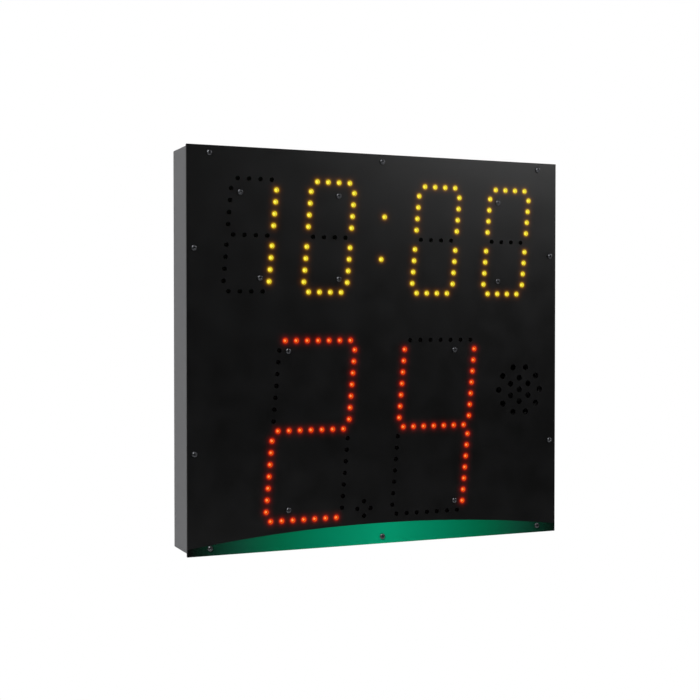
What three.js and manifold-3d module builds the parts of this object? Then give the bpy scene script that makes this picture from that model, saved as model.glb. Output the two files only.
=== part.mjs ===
// A wall-hung shot clock with game time. A folded sheet case is closed by a drilled front panel. Two
// lamp boards hang behind the panel on threaded posts, so that each lamp stands in a hole of its own.
// Behind the round grille is a loudspeaker, and the bottom wall holds the mains and data fittings.
// Millimetres: X to the right, Y into the wall, Z up. The origin lies on the case's rear face, behind
// the middle of the front panel.

import * as THREE from "three";
import { mergeVertices } from "three/addons/utils/BufferGeometryUtils.js";
import Module from "manifold-3d";

const wasm = await Module();
wasm.setup();

// Fits and facets
const seatGap = 0.3; // left between two pieces that touch
const cutOverrun = 1; // how far a cutter runs past the face it cuts
const fuseBite = 0.4; // how far a feature sinks into the piece that carries it
const mergeDistance = 0.001;
const lampSides = 5; // also of its hole
const holeSides = 5;
const screwSides = 6;
const hexSides = 6;
const leadSides = 5;
const fuseSides = 8;
const keyholeSides = 10;
const speakerSides = 10;

// Lamps: round diodes on one square pitch, all rows and columns alike
const lampPitch = 15.9;
const lampRadius = 2.5;
const lampClearance = 0.4;
const lampHeight = 8.6; // from the board to the tip
const lampSetback = 0.6; // from the panel's front face to the tip
const slantDegrees = 5; // how far the digits lean to the right

// Game-time digits
const gameLamps = 4; // lamps in each of the seven bars
const gameCornerX = 7.95; // from a row's last lamp across to the column
const gameCornerZ = 13.5; // from a column's last lamp up or down to the row
const pairSpread = 56.7; // from the middle of a pair of digits to each digit
const pairOffset = 138; // from the colon to the middle of each pair
const gameShift = 2; // of the whole row of digits, from the panel's middle
const colonShift = -1.1;
const colonRise = 0.9;

// Shot-time digits
const shotLamps = 7;
const shotCornerX = 7.4;
const shotCornerZ = 13;
const shotSpread = 93.15;
const shotShift = -13.05;
const dotRadius = 10; // of the diamond of four dots
const dotShift = -4.9;

// Front panel
const panelThickness = 3;
const sideMargin = 53.5; // from the outer column of lamps to the edge
const topMargin = 41.8;
const bottomMargin = 40.2;
const rowGap = 65.8; // between the game-time and the shot-time digits
const grilleRings = [1, 6, 10]; // holes in each ring
const grilleRingStep = 16.95;
const grilleHoleRadius = 4.6; // to the corners of its outline

// Case
const sheet = 1.5;
const caseDepth = 64.2;
const caseSideInset = 1; // of the case's walls from the panel's edges
const caseTopInset = 1.3;
const caseBottomInset = 3.4;
const flangeReach = 9; // of the front flange past the screws' centres
const keyholeRadius = 6;
const keyholeSlotRadius = 3;
const keyholeRise = 10; // from the round hole to the slot's upper end
const keyholeXShare = 0.384;
const keyholeZShare = 0.36;

// Screws
const screwRadius = 2;
const screwHeadRadius = 3.8;
const screwHeadHeight = 2.2;
const panelScrewLength = 11;
const boardScrewLength = 7.5;
const edgeInset = 10; // of the panel screws from the panel's edges
const cornerInset = 31; // of the corner screws from the side edges
const sideScrewShare = 0.25;

// Lamp boards
const boardThickness = 1.6;
const boardMargin = 10;
const postRadius = 3.6;
const postFloor = 1; // left under a post's threaded bore
const gameScrewXShare = 0.434;
const gameScrewZShare = 0.758;
const shotScrewXShare = 0.596;
const shotScrewZShare = 0.885;

// Loudspeaker, measured back from the front of its rim
const speakerRadius = 50;
const speakerSetback = 2; // of the rim behind the panel
const speakerShare = 0.521; // of the way from the board's edge to the case's wall
const speakerRise = 48.6; // above the middle of the shot-time digits
const rimThickness = 1.5;
const rimWidth = 7;
const basketWall = 1;
const basketNeck = 4.5; // how deep the basket stays straight, round the cone's surround
const basketDepth = 22;
const basketFloorRadius = 27;
const coneRadius = 36;
const coneRestDepth = 1.9; // of the cone's edge behind the rim's front
const coneThickness = 1.1;
const coneDepth = 12;
const dustCapRise = 5;
const coneTravel = 1.5;
const coilRadius = 12;
const coilThickness = 1.1;
const coilLength = 17;
const magnetRadius = 33;
const magnetDepth = 15;
const poleRise = 1.5; // of the pole above the basket's floor
const bracketMargin = 3;
const bracketFoot = 12;
const clipWidth = 14;
const clipReach = 3;
const clipThickness = 1.2;
const bracketWindowHeight = 44;
const bracketWindowDepthShare = 0.6;
const tagWidth = 12;
const tagLength = 9;
const tagThickness = 1.5;
const tagDepthShare = 0.75;

// Mains inlet module, in the bottom wall
const inletXShare = -0.268;
const moduleWall = 2;
const moduleRib = 2.4;
const moduleHeight = 27; // above the case's bottom face
const moduleLip = 2.5;
const moduleLipReach = 10; // beyond the body, where the screws sit
const moduleLipSide = 1.2;
const recessWidth = 16.6;
const recessLength = 24.6;
const recessDepth = 15;
const recessChamfer = 4;
const pinWidth = 4;
const pinThickness = 2;
const pinLength = 12;
const pinSpacing = 7;
const pinStagger = 2;
const tabWidth = 6.3;
const tabThickness = 0.8;
const tabLength = 8;
const rockerWidth = 13;
const rockerLength = 20;
const rockerPivotDepth = 4.2;
const rockerWellDepth = 13;
const rockerHeel = 3; // of the rocker behind its pivot
const rockerHeelShare = 0.6;
const rockerTiltDegrees = 10; // to either side of the middle
const pivotRadius = 1.2;
const pivotReach = 1.2;
const drawerWidth = 6.8;
const drawerLength = 23.4;
const drawerDepth = 17;
const drawerWall = 0.8;
const fuseRadius = 2.5;
const fuseLength = 20;
const fuseCapLength = 5;
const fuseWaist = 0.3; // of the glass below the caps

// Data socket, in the bottom wall
const dataXShare = 0.071;
const dataLip = 2;
const dataLipWidth = 31;
const dataLipDepth = 26;
const dataBodyWidth = 18;
const dataBodyDepth = 16;
const dataBodyHeight = 21;
const jackWidth = 12;
const jackDepth = 8.4;
const jackLength = 15;
const jackNotchWidth = 6.4;
const jackNotchDepth = 2.4;
const smallScrewRadius = 1.5;
const smallScrewHeadRadius = 2.8;
const smallScrewHeadHeight = 1.8;
const smallScrewPast = 2; // of the screw beyond the case's sheet
const smallScrewInset = 4.4; // from the lip's edges

// Power supply, on the rear wall
const supplyXShare = -0.214;
const supplyZShare = -0.278;
const supplyWidth = 99;
const supplyHeight = 82;
const supplyDepth = 30;
const supplyEar = 9;
const supplyEarHeight = 20;
const terminalHeight = 12;
const terminalDepth = 13;
const terminalWidth = 60;
const terminalCount = 5;
const terminalSlot = 9;
const terminalSlotDepth = 7;

// Control board, plugged onto the rear of the shot-time board
const controlX = 40;
const controlWidth = 110;
const controlHeight = 70;
const controlSpacing = 11; // between the two boards
const headerWidth = 60;
const headerHeight = 5;
const headerInset = 8;
const chipSize = 14;
const chipThickness = 2;
const plugWidth = 12;
const plugHeight = 9;
const plugDepth = 8;
const ribbonPlugWidth = 30;

// Inner leads
const mainsLeadRadius = 3.2;
const thinLeadRadius = 1.8;
const ribbonWidth = 25;
const ribbonThickness = 1.2;
const leadSpanSteps = 2; // sections between one point of a route and the next

// Worked out from the sizes above

const slant = Math.tan(THREE.MathUtils.degToRad(slantDegrees));
const rockerTilt = THREE.MathUtils.degToRad(rockerTiltDegrees);
const quarterTurn = Math.PI / 2;
const screwHoleRadius = screwRadius + seatGap;
const smallHoleRadius = smallScrewRadius + seatGap;

// A digit of seven bars: half its width between the columns and half its height between the rows.
const barSpan = (lamps) => (lamps - 1) * lampPitch;
const game = {
  lamps: gameLamps,
  cornerZ: gameCornerZ,
  halfWidth: barSpan(gameLamps) / 2 + gameCornerX,
  halfHeight: barSpan(gameLamps) + 2 * gameCornerZ,
};
const shot = {
  lamps: shotLamps,
  cornerZ: shotCornerZ,
  halfWidth: barSpan(shotLamps) / 2 + shotCornerX,
  halfHeight: barSpan(shotLamps) + 2 * shotCornerZ,
};

// The front panel comes to 560 mm by 540 mm with the sizes above.
const panelWidth = 2 * (pairOffset + pairSpread + game.halfWidth + sideMargin);
const panelHeight = topMargin + 2 * game.halfHeight + rowGap + 2 * shot.halfHeight + bottomMargin;
const panelBack = -(caseDepth + seatGap);
const panelFront = panelBack - panelThickness;
const boardFront = panelFront + lampSetback + lampHeight;
const boardBack = boardFront + boardThickness;

game.z = panelHeight / 2 - topMargin - game.halfHeight;
shot.z = game.z - game.halfHeight - rowGap - shot.halfHeight;
game.centres = [
  gameShift - pairOffset - pairSpread,
  gameShift - pairOffset + pairSpread,
  gameShift + pairOffset - pairSpread,
  gameShift + pairOffset + pairSpread,
];
shot.centres = [shotShift - shotSpread, shotShift + shotSpread];

const caseHalfWidth = panelWidth / 2 - caseSideInset;
const caseTop = panelHeight / 2 - caseTopInset;
const caseBottom = caseBottomInset - panelHeight / 2;
const caseMidY = -caseDepth / 2;
const wallFront = -sheet - seatGap; // where a piece seated on the rear wall begins
const flangeInset = edgeInset + flangeReach;

// Outlines: closed lists of points, and holes to cut in them.

function rectangle(left, bottom, right, top) {
  return [
    new THREE.Vector2(left, bottom),
    new THREE.Vector2(right, bottom),
    new THREE.Vector2(right, top),
    new THREE.Vector2(left, top),
  ];
}

function centredRectangle(width, height, x = 0, z = 0) {
  return rectangle(x - width / 2, z - height / 2, x + width / 2, z + height / 2);
}

function polygon(x, z, radius, sides) {
  const points = [];
  for (let i = 0; i < sides; i++) {
    const angle = quarterTurn + (2 * Math.PI * i) / sides;
    points.push(new THREE.Vector2(x + radius * Math.cos(angle), z + radius * Math.sin(angle)));
  }
  return points;
}

// A hole whose flat sides still clear the stated radius.
function holeOutline(x, z, radius, sides) {
  return polygon(x, z, radius / Math.cos(Math.PI / sides), sides);
}

function drilled(outline, holes) {
  const shape = new THREE.Shape(outline);
  shape.holes = holes.map((points) => new THREE.Path(points));
  return shape;
}

// Bodies. A shape drawn in X and Z is extruded forwards from the plane y = back, one drawn in X and Y
// is extruded upwards from the plane z = low, and one drawn in Y and Z runs to the right from x = left.

const extrudeBy = (shape, depth) => new THREE.ExtrudeGeometry(shape, { depth, bevelEnabled: false });
const forwards = (shape, back, depth) =>
  extrudeBy(shape, depth).rotateX(quarterTurn).translate(0, back, 0);
const upwards = (shape, low, height) => extrudeBy(shape, height).translate(0, 0, low);
const sideways = (shape, left, width) =>
  extrudeBy(shape, width).rotateY(quarterTurn).rotateX(quarterTurn).translate(left, 0, 0);

function block(left, right, back, front, low, high) {
  const width = right - left;
  const depth = back - front;
  const height = high - low;
  return new THREE.BoxGeometry(width, depth, height).translate(
    (left + right) / 2,
    (back + front) / 2,
    (low + high) / 2,
  );
}

function revolved(profile, sides) {
  const points = profile.map(([radius, y]) => new THREE.Vector2(radius, y));
  return new THREE.LatheGeometry(points, sides);
}

function solidOf(geometry) {
  const bare = new THREE.BufferGeometry();
  const whole = geometry.index ? geometry.toNonIndexed() : geometry;
  bare.setAttribute("position", whole.getAttribute("position"));
  const merged = mergeVertices(bare, mergeDistance);
  return new wasm.Manifold(
    new wasm.Mesh({
      numProp: 3,
      vertProperties: merged.attributes.position.array,
      triVerts: new Uint32Array(merged.index.array),
    }),
  );
}

function geometryOf(solid) {
  const mesh = solid.simplify(mergeDistance).getMesh();
  const geometry = new THREE.BufferGeometry();
  geometry.setAttribute("position", new THREE.BufferAttribute(mesh.vertProperties, 3));
  geometry.setIndex(new THREE.BufferAttribute(mesh.triVerts, 1));
  return geometry;
}

// One body from several geometries, less the cutters.
function shaped(pieces, cutters = []) {
  let solid = solidOf(pieces[0]);
  for (const piece of pieces.slice(1)) solid = solid.add(solidOf(piece));
  for (const cutter of cutters) solid = solid.subtract(solidOf(cutter));
  return geometryOf(solid);
}

// Materials

function finish(color, roughness, metalness = 0) {
  return new THREE.MeshStandardMaterial({ color, roughness, metalness });
}

const blackSheet = finish(0x161616, 0.55);
const greyPaint = finish(0x6e6e70, 0.5);
const darkSteel = finish(0x4a4a4c, 0.35, 0.9);
const brightSteel = finish(0xb4b6b8, 0.35, 0.9);
const circuitBoard = finish(0x1f3d2a, 0.6);
const blackPlastic = finish(0x1a1a1c, 0.5);
const ferrite = finish(0x2c2c2e, 0.7);
const conePaper = finish(0x202020, 0.9);
const foam = finish(0x28282a, 0.95);
const glass = finish(0xd0dcdc, 0.1);
const cableSleeve = finish(0x222224, 0.6);
const greyRibbon = finish(0x9a9a9c, 0.6);

const clock = new THREE.Group();

function place(name, geometry, material, parent = clock) {
  const mesh = new THREE.Mesh(geometry, material);
  mesh.name = name;
  parent.add(mesh);
  return mesh;
}

function groupAt(x, y, z) {
  const group = new THREE.Group();
  group.position.set(x, y, z);
  clock.add(group);
  return group;
}

// Where the lamps stand

function digitLamps(digit, centre) {
  const places = [];
  const add = (x, z) => places.push([centre + x + slant * z, digit.z + z]);
  for (let i = 0; i < digit.lamps; i++) {
    const along = i * lampPitch;
    for (const row of [-1, 0, 1]) add(along - barSpan(digit.lamps) / 2, row * digit.halfHeight);
    for (const side of [-1, 1]) {
      for (const half of [-1, 1]) add(side * digit.halfWidth, half * (digit.cornerZ + along));
    }
  }
  return places;
}

function colonLamps() {
  const rise = game.cornerZ + lampPitch;
  return [-1, 1].map((half) => [
    gameShift + colonShift + half * slant * rise,
    game.z + colonRise + half * rise,
  ]);
}

function diamondLamps() {
  const z = shot.z - shot.halfHeight + dotRadius;
  const x = shotShift + dotShift + slant * (z - shot.z);
  return polygon(x, z, dotRadius, 4).map((point) => [point.x, point.y]);
}

const gameLampPlaces = [...game.centres.flatMap((x) => digitLamps(game, x)), ...colonLamps()];
const shotLampPlaces = [...shot.centres.flatMap((x) => digitLamps(shot, x)), ...diamondLamps()];

// Where the screws sit: ten round the edge, and ten inside the loops of the digits. A board screw is
// given by its digit and by the side and the half of the digit that it sits in.

const edgeScrewPlaces = [];
for (const half of [1, -1]) {
  for (const side of [-1, 0, 1]) {
    edgeScrewPlaces.push([side * (panelWidth / 2 - cornerInset), half * (panelHeight / 2 - edgeInset)]);
  }
}
for (const side of [-1, 1]) {
  for (const half of [1, -1]) {
    edgeScrewPlaces.push([side * (panelWidth / 2 - edgeInset), half * panelHeight * sideScrewShare]);
  }
}

function boardScrewPlaces(digit, seats, xShare, zShare) {
  return seats.map(([index, side, half]) => [
    digit.centres[index] + side * xShare * digit.halfWidth,
    digit.z + half * zShare * digit.halfHeight,
  ]);
}

const gameSeats = [[0, -1, 1], [0, 1, -1], [1, 1, 1], [1, 1, -1], [3, -1, 1], [3, -1, -1]];
const shotSeats = [[0, -1, 1], [0, -1, -1], [1, 1, 1], [1, 1, -1]];
const gameScrewPlaces = boardScrewPlaces(game, gameSeats, gameScrewXShare, gameScrewZShare);
const shotScrewPlaces = boardScrewPlaces(shot, shotSeats, shotScrewXShare, shotScrewZShare);

// Lamp boards: the outline covers the lamps, threaded posts reach forward to the panel, and a plug
// for the ribbon lead stands on the rear.

function lampBoard(digit, middle, spread, lampPlaces, screwPlaces) {
  const lean = slant * digit.halfHeight;
  const halfWidth = spread + digit.halfWidth + lean + boardMargin;
  const halfHeight = digit.halfHeight + boardMargin;
  const outline = centredRectangle(2 * halfWidth, 2 * halfHeight, middle, digit.z);
  const postHeight = boardFront - panelBack - seatGap;
  const pieces = [forwards(new THREE.Shape(outline), boardBack, boardThickness)];
  const cutters = [];
  for (const [x, z] of lampPlaces) pieces.push(lampGeometry().translate(x, boardFront, z));
  for (const [x, z] of screwPlaces) {
    const post = new THREE.Shape(polygon(x, z, postRadius, hexSides));
    const bore = new THREE.Shape(holeOutline(x, z, screwHoleRadius, holeSides));
    pieces.push(forwards(post, boardFront + fuseBite, postHeight + fuseBite));
    cutters.push(forwards(bore, boardFront - postFloor, postHeight - postFloor + cutOverrun));
  }
  return { pieces, cutters, left: middle - halfWidth, right: middle + halfWidth };
}

// A lamp stands on the board at y = 0 and points forwards.
function lampGeometry() {
  const profile = [
    [0, -lampHeight],
    [lampRadius, -lampHeight],
    [lampRadius, fuseBite],
    [0, fuseBite],
  ];
  return revolved(profile, lampSides);
}

const gameSpread = pairOffset + pairSpread;
const gameBoard = lampBoard(game, gameShift, gameSpread, gameLampPlaces, gameScrewPlaces);
const shotBoard = lampBoard(shot, shotShift, shotSpread, shotLampPlaces, shotScrewPlaces);

const ribbonX = controlX - controlWidth / 4;
const gamePlugLow = game.z - game.halfHeight;
gameBoard.pieces.push(
  block(
    ribbonX - ribbonPlugWidth / 2,
    ribbonX + ribbonPlugWidth / 2,
    boardBack + plugDepth,
    boardBack - fuseBite,
    gamePlugLow,
    gamePlugLow + plugHeight,
  ),
);
place("game_time_board", shaped(gameBoard.pieces, gameBoard.cutters), circuitBoard);
place("shot_time_board", shaped(shotBoard.pieces, shotBoard.cutters), circuitBoard);

// Loudspeaker's place: between the shot-time board and the case's wall

const innerWall = caseHalfWidth - sheet;
const speakerX = shotBoard.right + speakerShare * (innerWall - shotBoard.right);
const speakerZ = shot.z + speakerRise;
const speakerY = panelBack + speakerSetback;

// Front panel

function grilleHoles() {
  const holes = [];
  grilleRings.forEach((count, ring) => {
    for (let i = 0; i < count; i++) {
      const turn = ring === grilleRings.length - 1 ? 0.5 : 0;
      const angle = quarterTurn + (2 * Math.PI * (i + turn)) / count;
      const x = speakerX + ring * grilleRingStep * Math.cos(angle);
      const z = speakerZ + ring * grilleRingStep * Math.sin(angle);
      holes.push(polygon(x, z, grilleHoleRadius, holeSides));
    }
  });
  return holes;
}

const screwPlaces = [...edgeScrewPlaces, ...gameScrewPlaces, ...shotScrewPlaces];
const lampPlaces = [...gameLampPlaces, ...shotLampPlaces];
const panelHoles = [
  ...lampPlaces.map(([x, z]) => polygon(x, z, lampRadius + lampClearance, lampSides)),
  ...screwPlaces.map(([x, z]) => holeOutline(x, z, screwHoleRadius, holeSides)),
  ...grilleHoles(),
];
const panelShape = drilled(centredRectangle(panelWidth, panelHeight), panelHoles);
place("front_panel", forwards(panelShape, panelBack, panelThickness), blackSheet);

// Screws: a shank, and a round head under which the shank starts at y = 0. They point along +Y.

function screw(radius, length, headRadius, headHeight) {
  const profile = [
    [0, -headHeight],
    [headRadius, -headHeight],
    [headRadius, 0],
    [radius, 0],
    [radius, length],
    [0, length],
  ];
  return geometryOf(solidOf(revolved(profile, screwSides)));
}

const headSeat = panelFront - seatGap;

function placeScrews(name, places, length) {
  places.forEach(([x, z], i) => {
    const geometry = screw(screwRadius, length, screwHeadRadius, screwHeadHeight);
    place(`${name}_${i + 1}`, geometry, darkSteel).position.set(x, headSeat, z);
  });
}

placeScrews("panel_screw", edgeScrewPlaces, panelScrewLength);
placeScrews("board_screw", [...gameScrewPlaces, ...shotScrewPlaces], boardScrewLength);

// Mains inlet module: a lip outside the case, and a body through its bottom wall with a well for the
// rocker, a well for the fuse drawer and the recess for the cord's connector, from left to right.

const inletX = panelWidth * inletXShare;
const rockerWell = rockerWidth + 2 * seatGap;
const drawerWell = drawerWidth + 2 * seatGap;
const moduleWidth = 2 * moduleWall + 2 * moduleRib + rockerWell + drawerWell + recessWidth;
const moduleLength = recessLength + 2 * moduleWall;
const moduleFace = -seatGap - moduleLip;
const rockerX = moduleWall + rockerWell / 2 - moduleWidth / 2;
const drawerX = rockerX + rockerWell / 2 + moduleRib + drawerWell / 2;
const recessX = drawerX + drawerWell / 2 + moduleRib + recessWidth / 2;
const moduleScrewX = moduleWidth / 2 + moduleLipReach / 2;
const pivotZ = moduleFace + rockerPivotDepth;
const recessFloor = moduleFace + recessDepth;

// Data socket's places, in its own frame

const dataX = panelWidth * dataXShare;
const dataFace = -seatGap - dataLip;
const dataScrewX = dataLipWidth / 2 - smallScrewInset;
const dataScrewY = dataLipDepth / 2 - smallScrewInset;

// Power supply's place

const supplyX = panelWidth * supplyXShare;
const supplyZ = panelHeight * supplyZShare;
const supplyScrewX = (supplyWidth + supplyEar) / 2;

// Rear case: the rear wall with its keyholes, four walls, and the front flange that the panel's
// screws bite into. The bottom wall has a cut-out and two screw holes for each fitting.

function caseGeometry() {
  const outer = rectangle(-caseHalfWidth, caseBottom, caseHalfWidth, caseTop);
  const inner = rectangle(-innerWall, caseBottom + sheet, innerWall, caseTop - sheet);
  const mouthWidth = panelWidth - 2 * flangeInset;
  const mouthHeight = panelHeight - 2 * flangeInset;
  const flangeHoles = edgeScrewPlaces.map(([x, z]) => holeOutline(x, z, screwHoleRadius, holeSides));
  const flange = drilled(outer, [centredRectangle(mouthWidth, mouthHeight), ...flangeHoles]);
  const supplyHoles = [-1, 1].map((side) =>
    holeOutline(supplyX + side * supplyScrewX, supplyZ, screwHoleRadius, holeSides),
  );
  const pieces = [
    forwards(drilled(outer, supplyHoles), 0, sheet),
    forwards(drilled(outer, [inner]), 0, caseDepth),
    forwards(flange, sheet - caseDepth, sheet),
  ];
  const cutters = [];
  for (const side of [-1, 1]) {
    for (const half of [-1, 1]) {
      cutters.push(...keyhole(side * panelWidth * keyholeXShare, half * panelHeight * keyholeZShare));
    }
  }
  cutters.push(
    ...wallOpening(inletX, moduleWidth, moduleLength, [[-moduleScrewX, 0], [moduleScrewX, 0]]),
    ...wallOpening(dataX, dataBodyWidth, dataBodyDepth, [
      [-dataScrewX, -dataScrewY],
      [dataScrewX, dataScrewY],
    ]),
  );
  return shaped(pieces, cutters);
}

// A round hole for a screw's head with a slot above it for the screw's neck.
function keyhole(x, z) {
  const head = new THREE.Shape(polygon(x, z, keyholeRadius, keyholeSides));
  const slot = new THREE.Shape(
    rectangle(x - keyholeSlotRadius, z, x + keyholeSlotRadius, z + keyholeRise),
  );
  const depth = sheet + 2 * cutOverrun;
  return [forwards(head, cutOverrun, depth), forwards(slot, cutOverrun, depth)];
}

// What a fitting with a body of this width and depth needs in the bottom wall.
function wallOpening(x, width, depth, screwOffsets) {
  const low = caseBottom - cutOverrun;
  const height = sheet + 2 * cutOverrun;
  const opening = centredRectangle(width + 2 * seatGap, depth + 2 * seatGap, x, caseMidY);
  const holes = screwOffsets.map(([across, back]) =>
    holeOutline(x + across, caseMidY + back, smallHoleRadius, holeSides),
  );
  return [opening, ...holes].map((points) => upwards(new THREE.Shape(points), low, height));
}

place("rear_case", caseGeometry(), greyPaint);

// Bottom fittings' screws point up through the lip and the case's sheet.

function lipScrews(name, group, offsets, lip) {
  offsets.forEach(([x, y], i) => {
    const length = lip + 2 * seatGap + sheet + smallScrewPast;
    const geometry = screw(smallScrewRadius, length, smallScrewHeadRadius, smallScrewHeadHeight);
    const mesh = place(`${name}_${i + 1}`, geometry, brightSteel, group);
    mesh.rotation.x = quarterTurn;
    mesh.position.set(x, y, -lip - 2 * seatGap);
  });
}

// Recess for the cord's connector: two corners are cut off, so that it goes in one way round.
function recessOutline() {
  const left = recessX - recessWidth / 2;
  const right = recessX + recessWidth / 2;
  const side = recessLength / 2;
  return [
    new THREE.Vector2(left, -side),
    new THREE.Vector2(right - recessChamfer, -side),
    new THREE.Vector2(right, recessChamfer - side),
    new THREE.Vector2(right, side - recessChamfer),
    new THREE.Vector2(right - recessChamfer, side),
    new THREE.Vector2(left, side),
  ];
}

function well(x, width, length, depth) {
  const half = length / 2 + seatGap;
  return block(x - width / 2, x + width / 2, half, -half, moduleFace - cutOverrun, moduleFace + depth);
}

function contactPin(x, y) {
  const low = recessFloor - pinLength;
  const [halfWidth, halfThickness] = [pinWidth / 2, pinThickness / 2];
  const high = recessFloor + fuseBite;
  return block(x - halfWidth, x + halfWidth, y + halfThickness, y - halfThickness, low, high);
}

function solderTab(x, y) {
  const [halfWidth, halfThickness] = [tabWidth / 2, tabThickness / 2];
  const low = moduleHeight - fuseBite;
  const high = moduleHeight + tabLength;
  return block(x - halfWidth, x + halfWidth, y + halfThickness, y - halfThickness, low, high);
}

function moduleGeometry() {
  const lipWidth = moduleWidth + 2 * moduleLipReach;
  const lipHoles = [-1, 1].map((side) =>
    holeOutline(side * moduleScrewX, 0, smallHoleRadius, holeSides),
  );
  const lip = drilled(centredRectangle(lipWidth, moduleLength + 2 * moduleLipSide), lipHoles);
  const body = new THREE.Shape(centredRectangle(moduleWidth, moduleLength));
  const recess = new THREE.Shape(recessOutline());
  const pocket = new THREE.Shape(holeOutline(0, pivotZ, pivotRadius + seatGap, holeSides));
  const pocketWidth = rockerWell + 2 * (pivotReach + seatGap);
  const drawerHole = well(drawerX, drawerWell, drawerLength, drawerDepth + seatGap);
  const shell = solidOf(upwards(lip, moduleFace, moduleLip))
    .add(solidOf(upwards(body, moduleFace, moduleHeight - moduleFace)))
    .subtract(solidOf(upwards(recess, moduleFace - cutOverrun, recessDepth + cutOverrun)))
    .subtract(solidOf(well(rockerX, rockerWell, rockerLength, rockerWellDepth)))
    .subtract(solidOf(drawerHole))
    .subtract(solidOf(sideways(pocket, rockerX - pocketWidth / 2, pocketWidth)));
  const fused = [
    contactPin(recessX + pinStagger, 0),
    contactPin(recessX - pinStagger, -pinSpacing),
    contactPin(recessX - pinStagger, pinSpacing),
    solderTab(recessX, 0),
    solderTab(recessX, -pinSpacing),
    solderTab(rockerX, pinSpacing),
  ];
  return geometryOf(fused.reduce((solid, piece) => solid.add(solidOf(piece)), shell));
}

const inlet = groupAt(inletX, caseMidY, caseBottom);
place("mains_inlet", moduleGeometry(), blackPlastic, inlet);
lipScrews("inlet_screw", inlet, [[-moduleScrewX, 0], [moduleScrewX, 0]], moduleLip);

// Power rocker: its two faces meet in a shallow V, and its ends are round about the pivot, so that
// they pass the well's walls at any tilt. With one end pressed, that half lies flush with the lip.
function rockerGeometry() {
  const reach = rockerLength / 2;
  const corner = rockerTilt + Math.asin(rockerPivotDepth / reach);
  const rim = (angle) => new THREE.Vector2(reach * Math.cos(angle), -reach * Math.sin(angle));
  const heel = reach * rockerHeelShare;
  const right = [rim(corner), rim(corner / 2), rim(0), new THREE.Vector2(heel, rockerHeel)];
  const left = right.map((point) => new THREE.Vector2(-point.x, point.y)).reverse();
  const waist = new THREE.Vector2(0, -rockerPivotDepth / Math.cos(rockerTilt));
  const cap = new THREE.Shape([waist, ...right, ...left]);
  const pin = new THREE.Shape(polygon(0, 0, pivotRadius, holeSides));
  const pinWidthAll = rockerWidth + 2 * pivotReach;
  return shaped([
    sideways(cap, -rockerWidth / 2, rockerWidth),
    sideways(pin, -pinWidthAll / 2, pinWidthAll),
  ]);
}

const rocker = place("power_rocker", rockerGeometry(), blackPlastic, inlet);
rocker.position.set(rockerX, 0, pivotZ);
rocker.rotation.x = rockerTilt;

// Fuse drawer: it slides down out of the module with the fuse lying in its pocket.
const pocketHigh = drawerDepth - drawerWall;
const fuseZ = pocketHigh - fuseRadius - seatGap;

function drawerGeometry() {
  const halfWidth = drawerWidth / 2;
  const halfLength = drawerLength / 2;
  const pocketHalf = fuseLength / 2 + seatGap;
  const body = block(-halfWidth, halfWidth, halfLength, -halfLength, 0, drawerDepth);
  const pocket = block(
    drawerWall - halfWidth,
    halfWidth + cutOverrun,
    pocketHalf,
    -pocketHalf,
    fuseZ - fuseRadius - seatGap,
    pocketHigh,
  );
  const grip = block(
    drawerWall - halfWidth,
    halfWidth - drawerWall,
    pocketHalf / 2,
    -pocketHalf / 2,
    -cutOverrun,
    drawerWall,
  );
  return shaped([body], [pocket, grip]);
}

function fuseGeometry() {
  const half = fuseLength / 2;
  const neck = half - fuseCapLength;
  const glassRadius = fuseRadius - fuseWaist;
  const profile = [
    [0, -half],
    [fuseRadius, -half],
    [fuseRadius, -neck],
    [glassRadius, -neck],
    [glassRadius, neck],
    [fuseRadius, neck],
    [fuseRadius, half],
    [0, half],
  ];
  return geometryOf(solidOf(revolved(profile, fuseSides)));
}

const drawer = place("fuse_drawer", drawerGeometry(), blackPlastic, inlet);
drawer.position.set(drawerX, 0, moduleFace);
const fuse = place("fuse", fuseGeometry(), glass, inlet);
fuse.position.set(drawerX - drawerWidth / 2 + drawerWall + seatGap + fuseRadius, 0, moduleFace + fuseZ);

// Data socket: a square body behind its lip, with the jack's mouth and the notch for the latch.
function dataGeometry() {
  const lipHoles = [-1, 1].map((side) =>
    holeOutline(side * dataScrewX, side * dataScrewY, smallHoleRadius, holeSides),
  );
  const lip = drilled(centredRectangle(dataLipWidth, dataLipDepth), lipHoles);
  const body = new THREE.Shape(centredRectangle(dataBodyWidth, dataBodyDepth));
  const mouthBack = jackDepth / 2;
  const low = dataFace - cutOverrun;
  const mouth = block(-jackWidth / 2, jackWidth / 2, mouthBack, -mouthBack, low, dataFace + jackLength);
  const notch = block(
    -jackNotchWidth / 2,
    jackNotchWidth / 2,
    mouthBack + jackNotchDepth,
    mouthBack - cutOverrun,
    low,
    dataFace + jackLength,
  );
  const pieces = [
    upwards(lip, dataFace, dataLip),
    upwards(body, dataFace, dataBodyHeight - dataFace),
  ];
  return shaped(pieces, [mouth, notch]);
}

const data = groupAt(dataX, caseMidY, caseBottom);
place("data_socket", dataGeometry(), brightSteel, data);
const dataScrewOffsets = [[-dataScrewX, -dataScrewY], [dataScrewX, dataScrewY]];
lipScrews("data_screw", data, dataScrewOffsets, dataLip);

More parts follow.
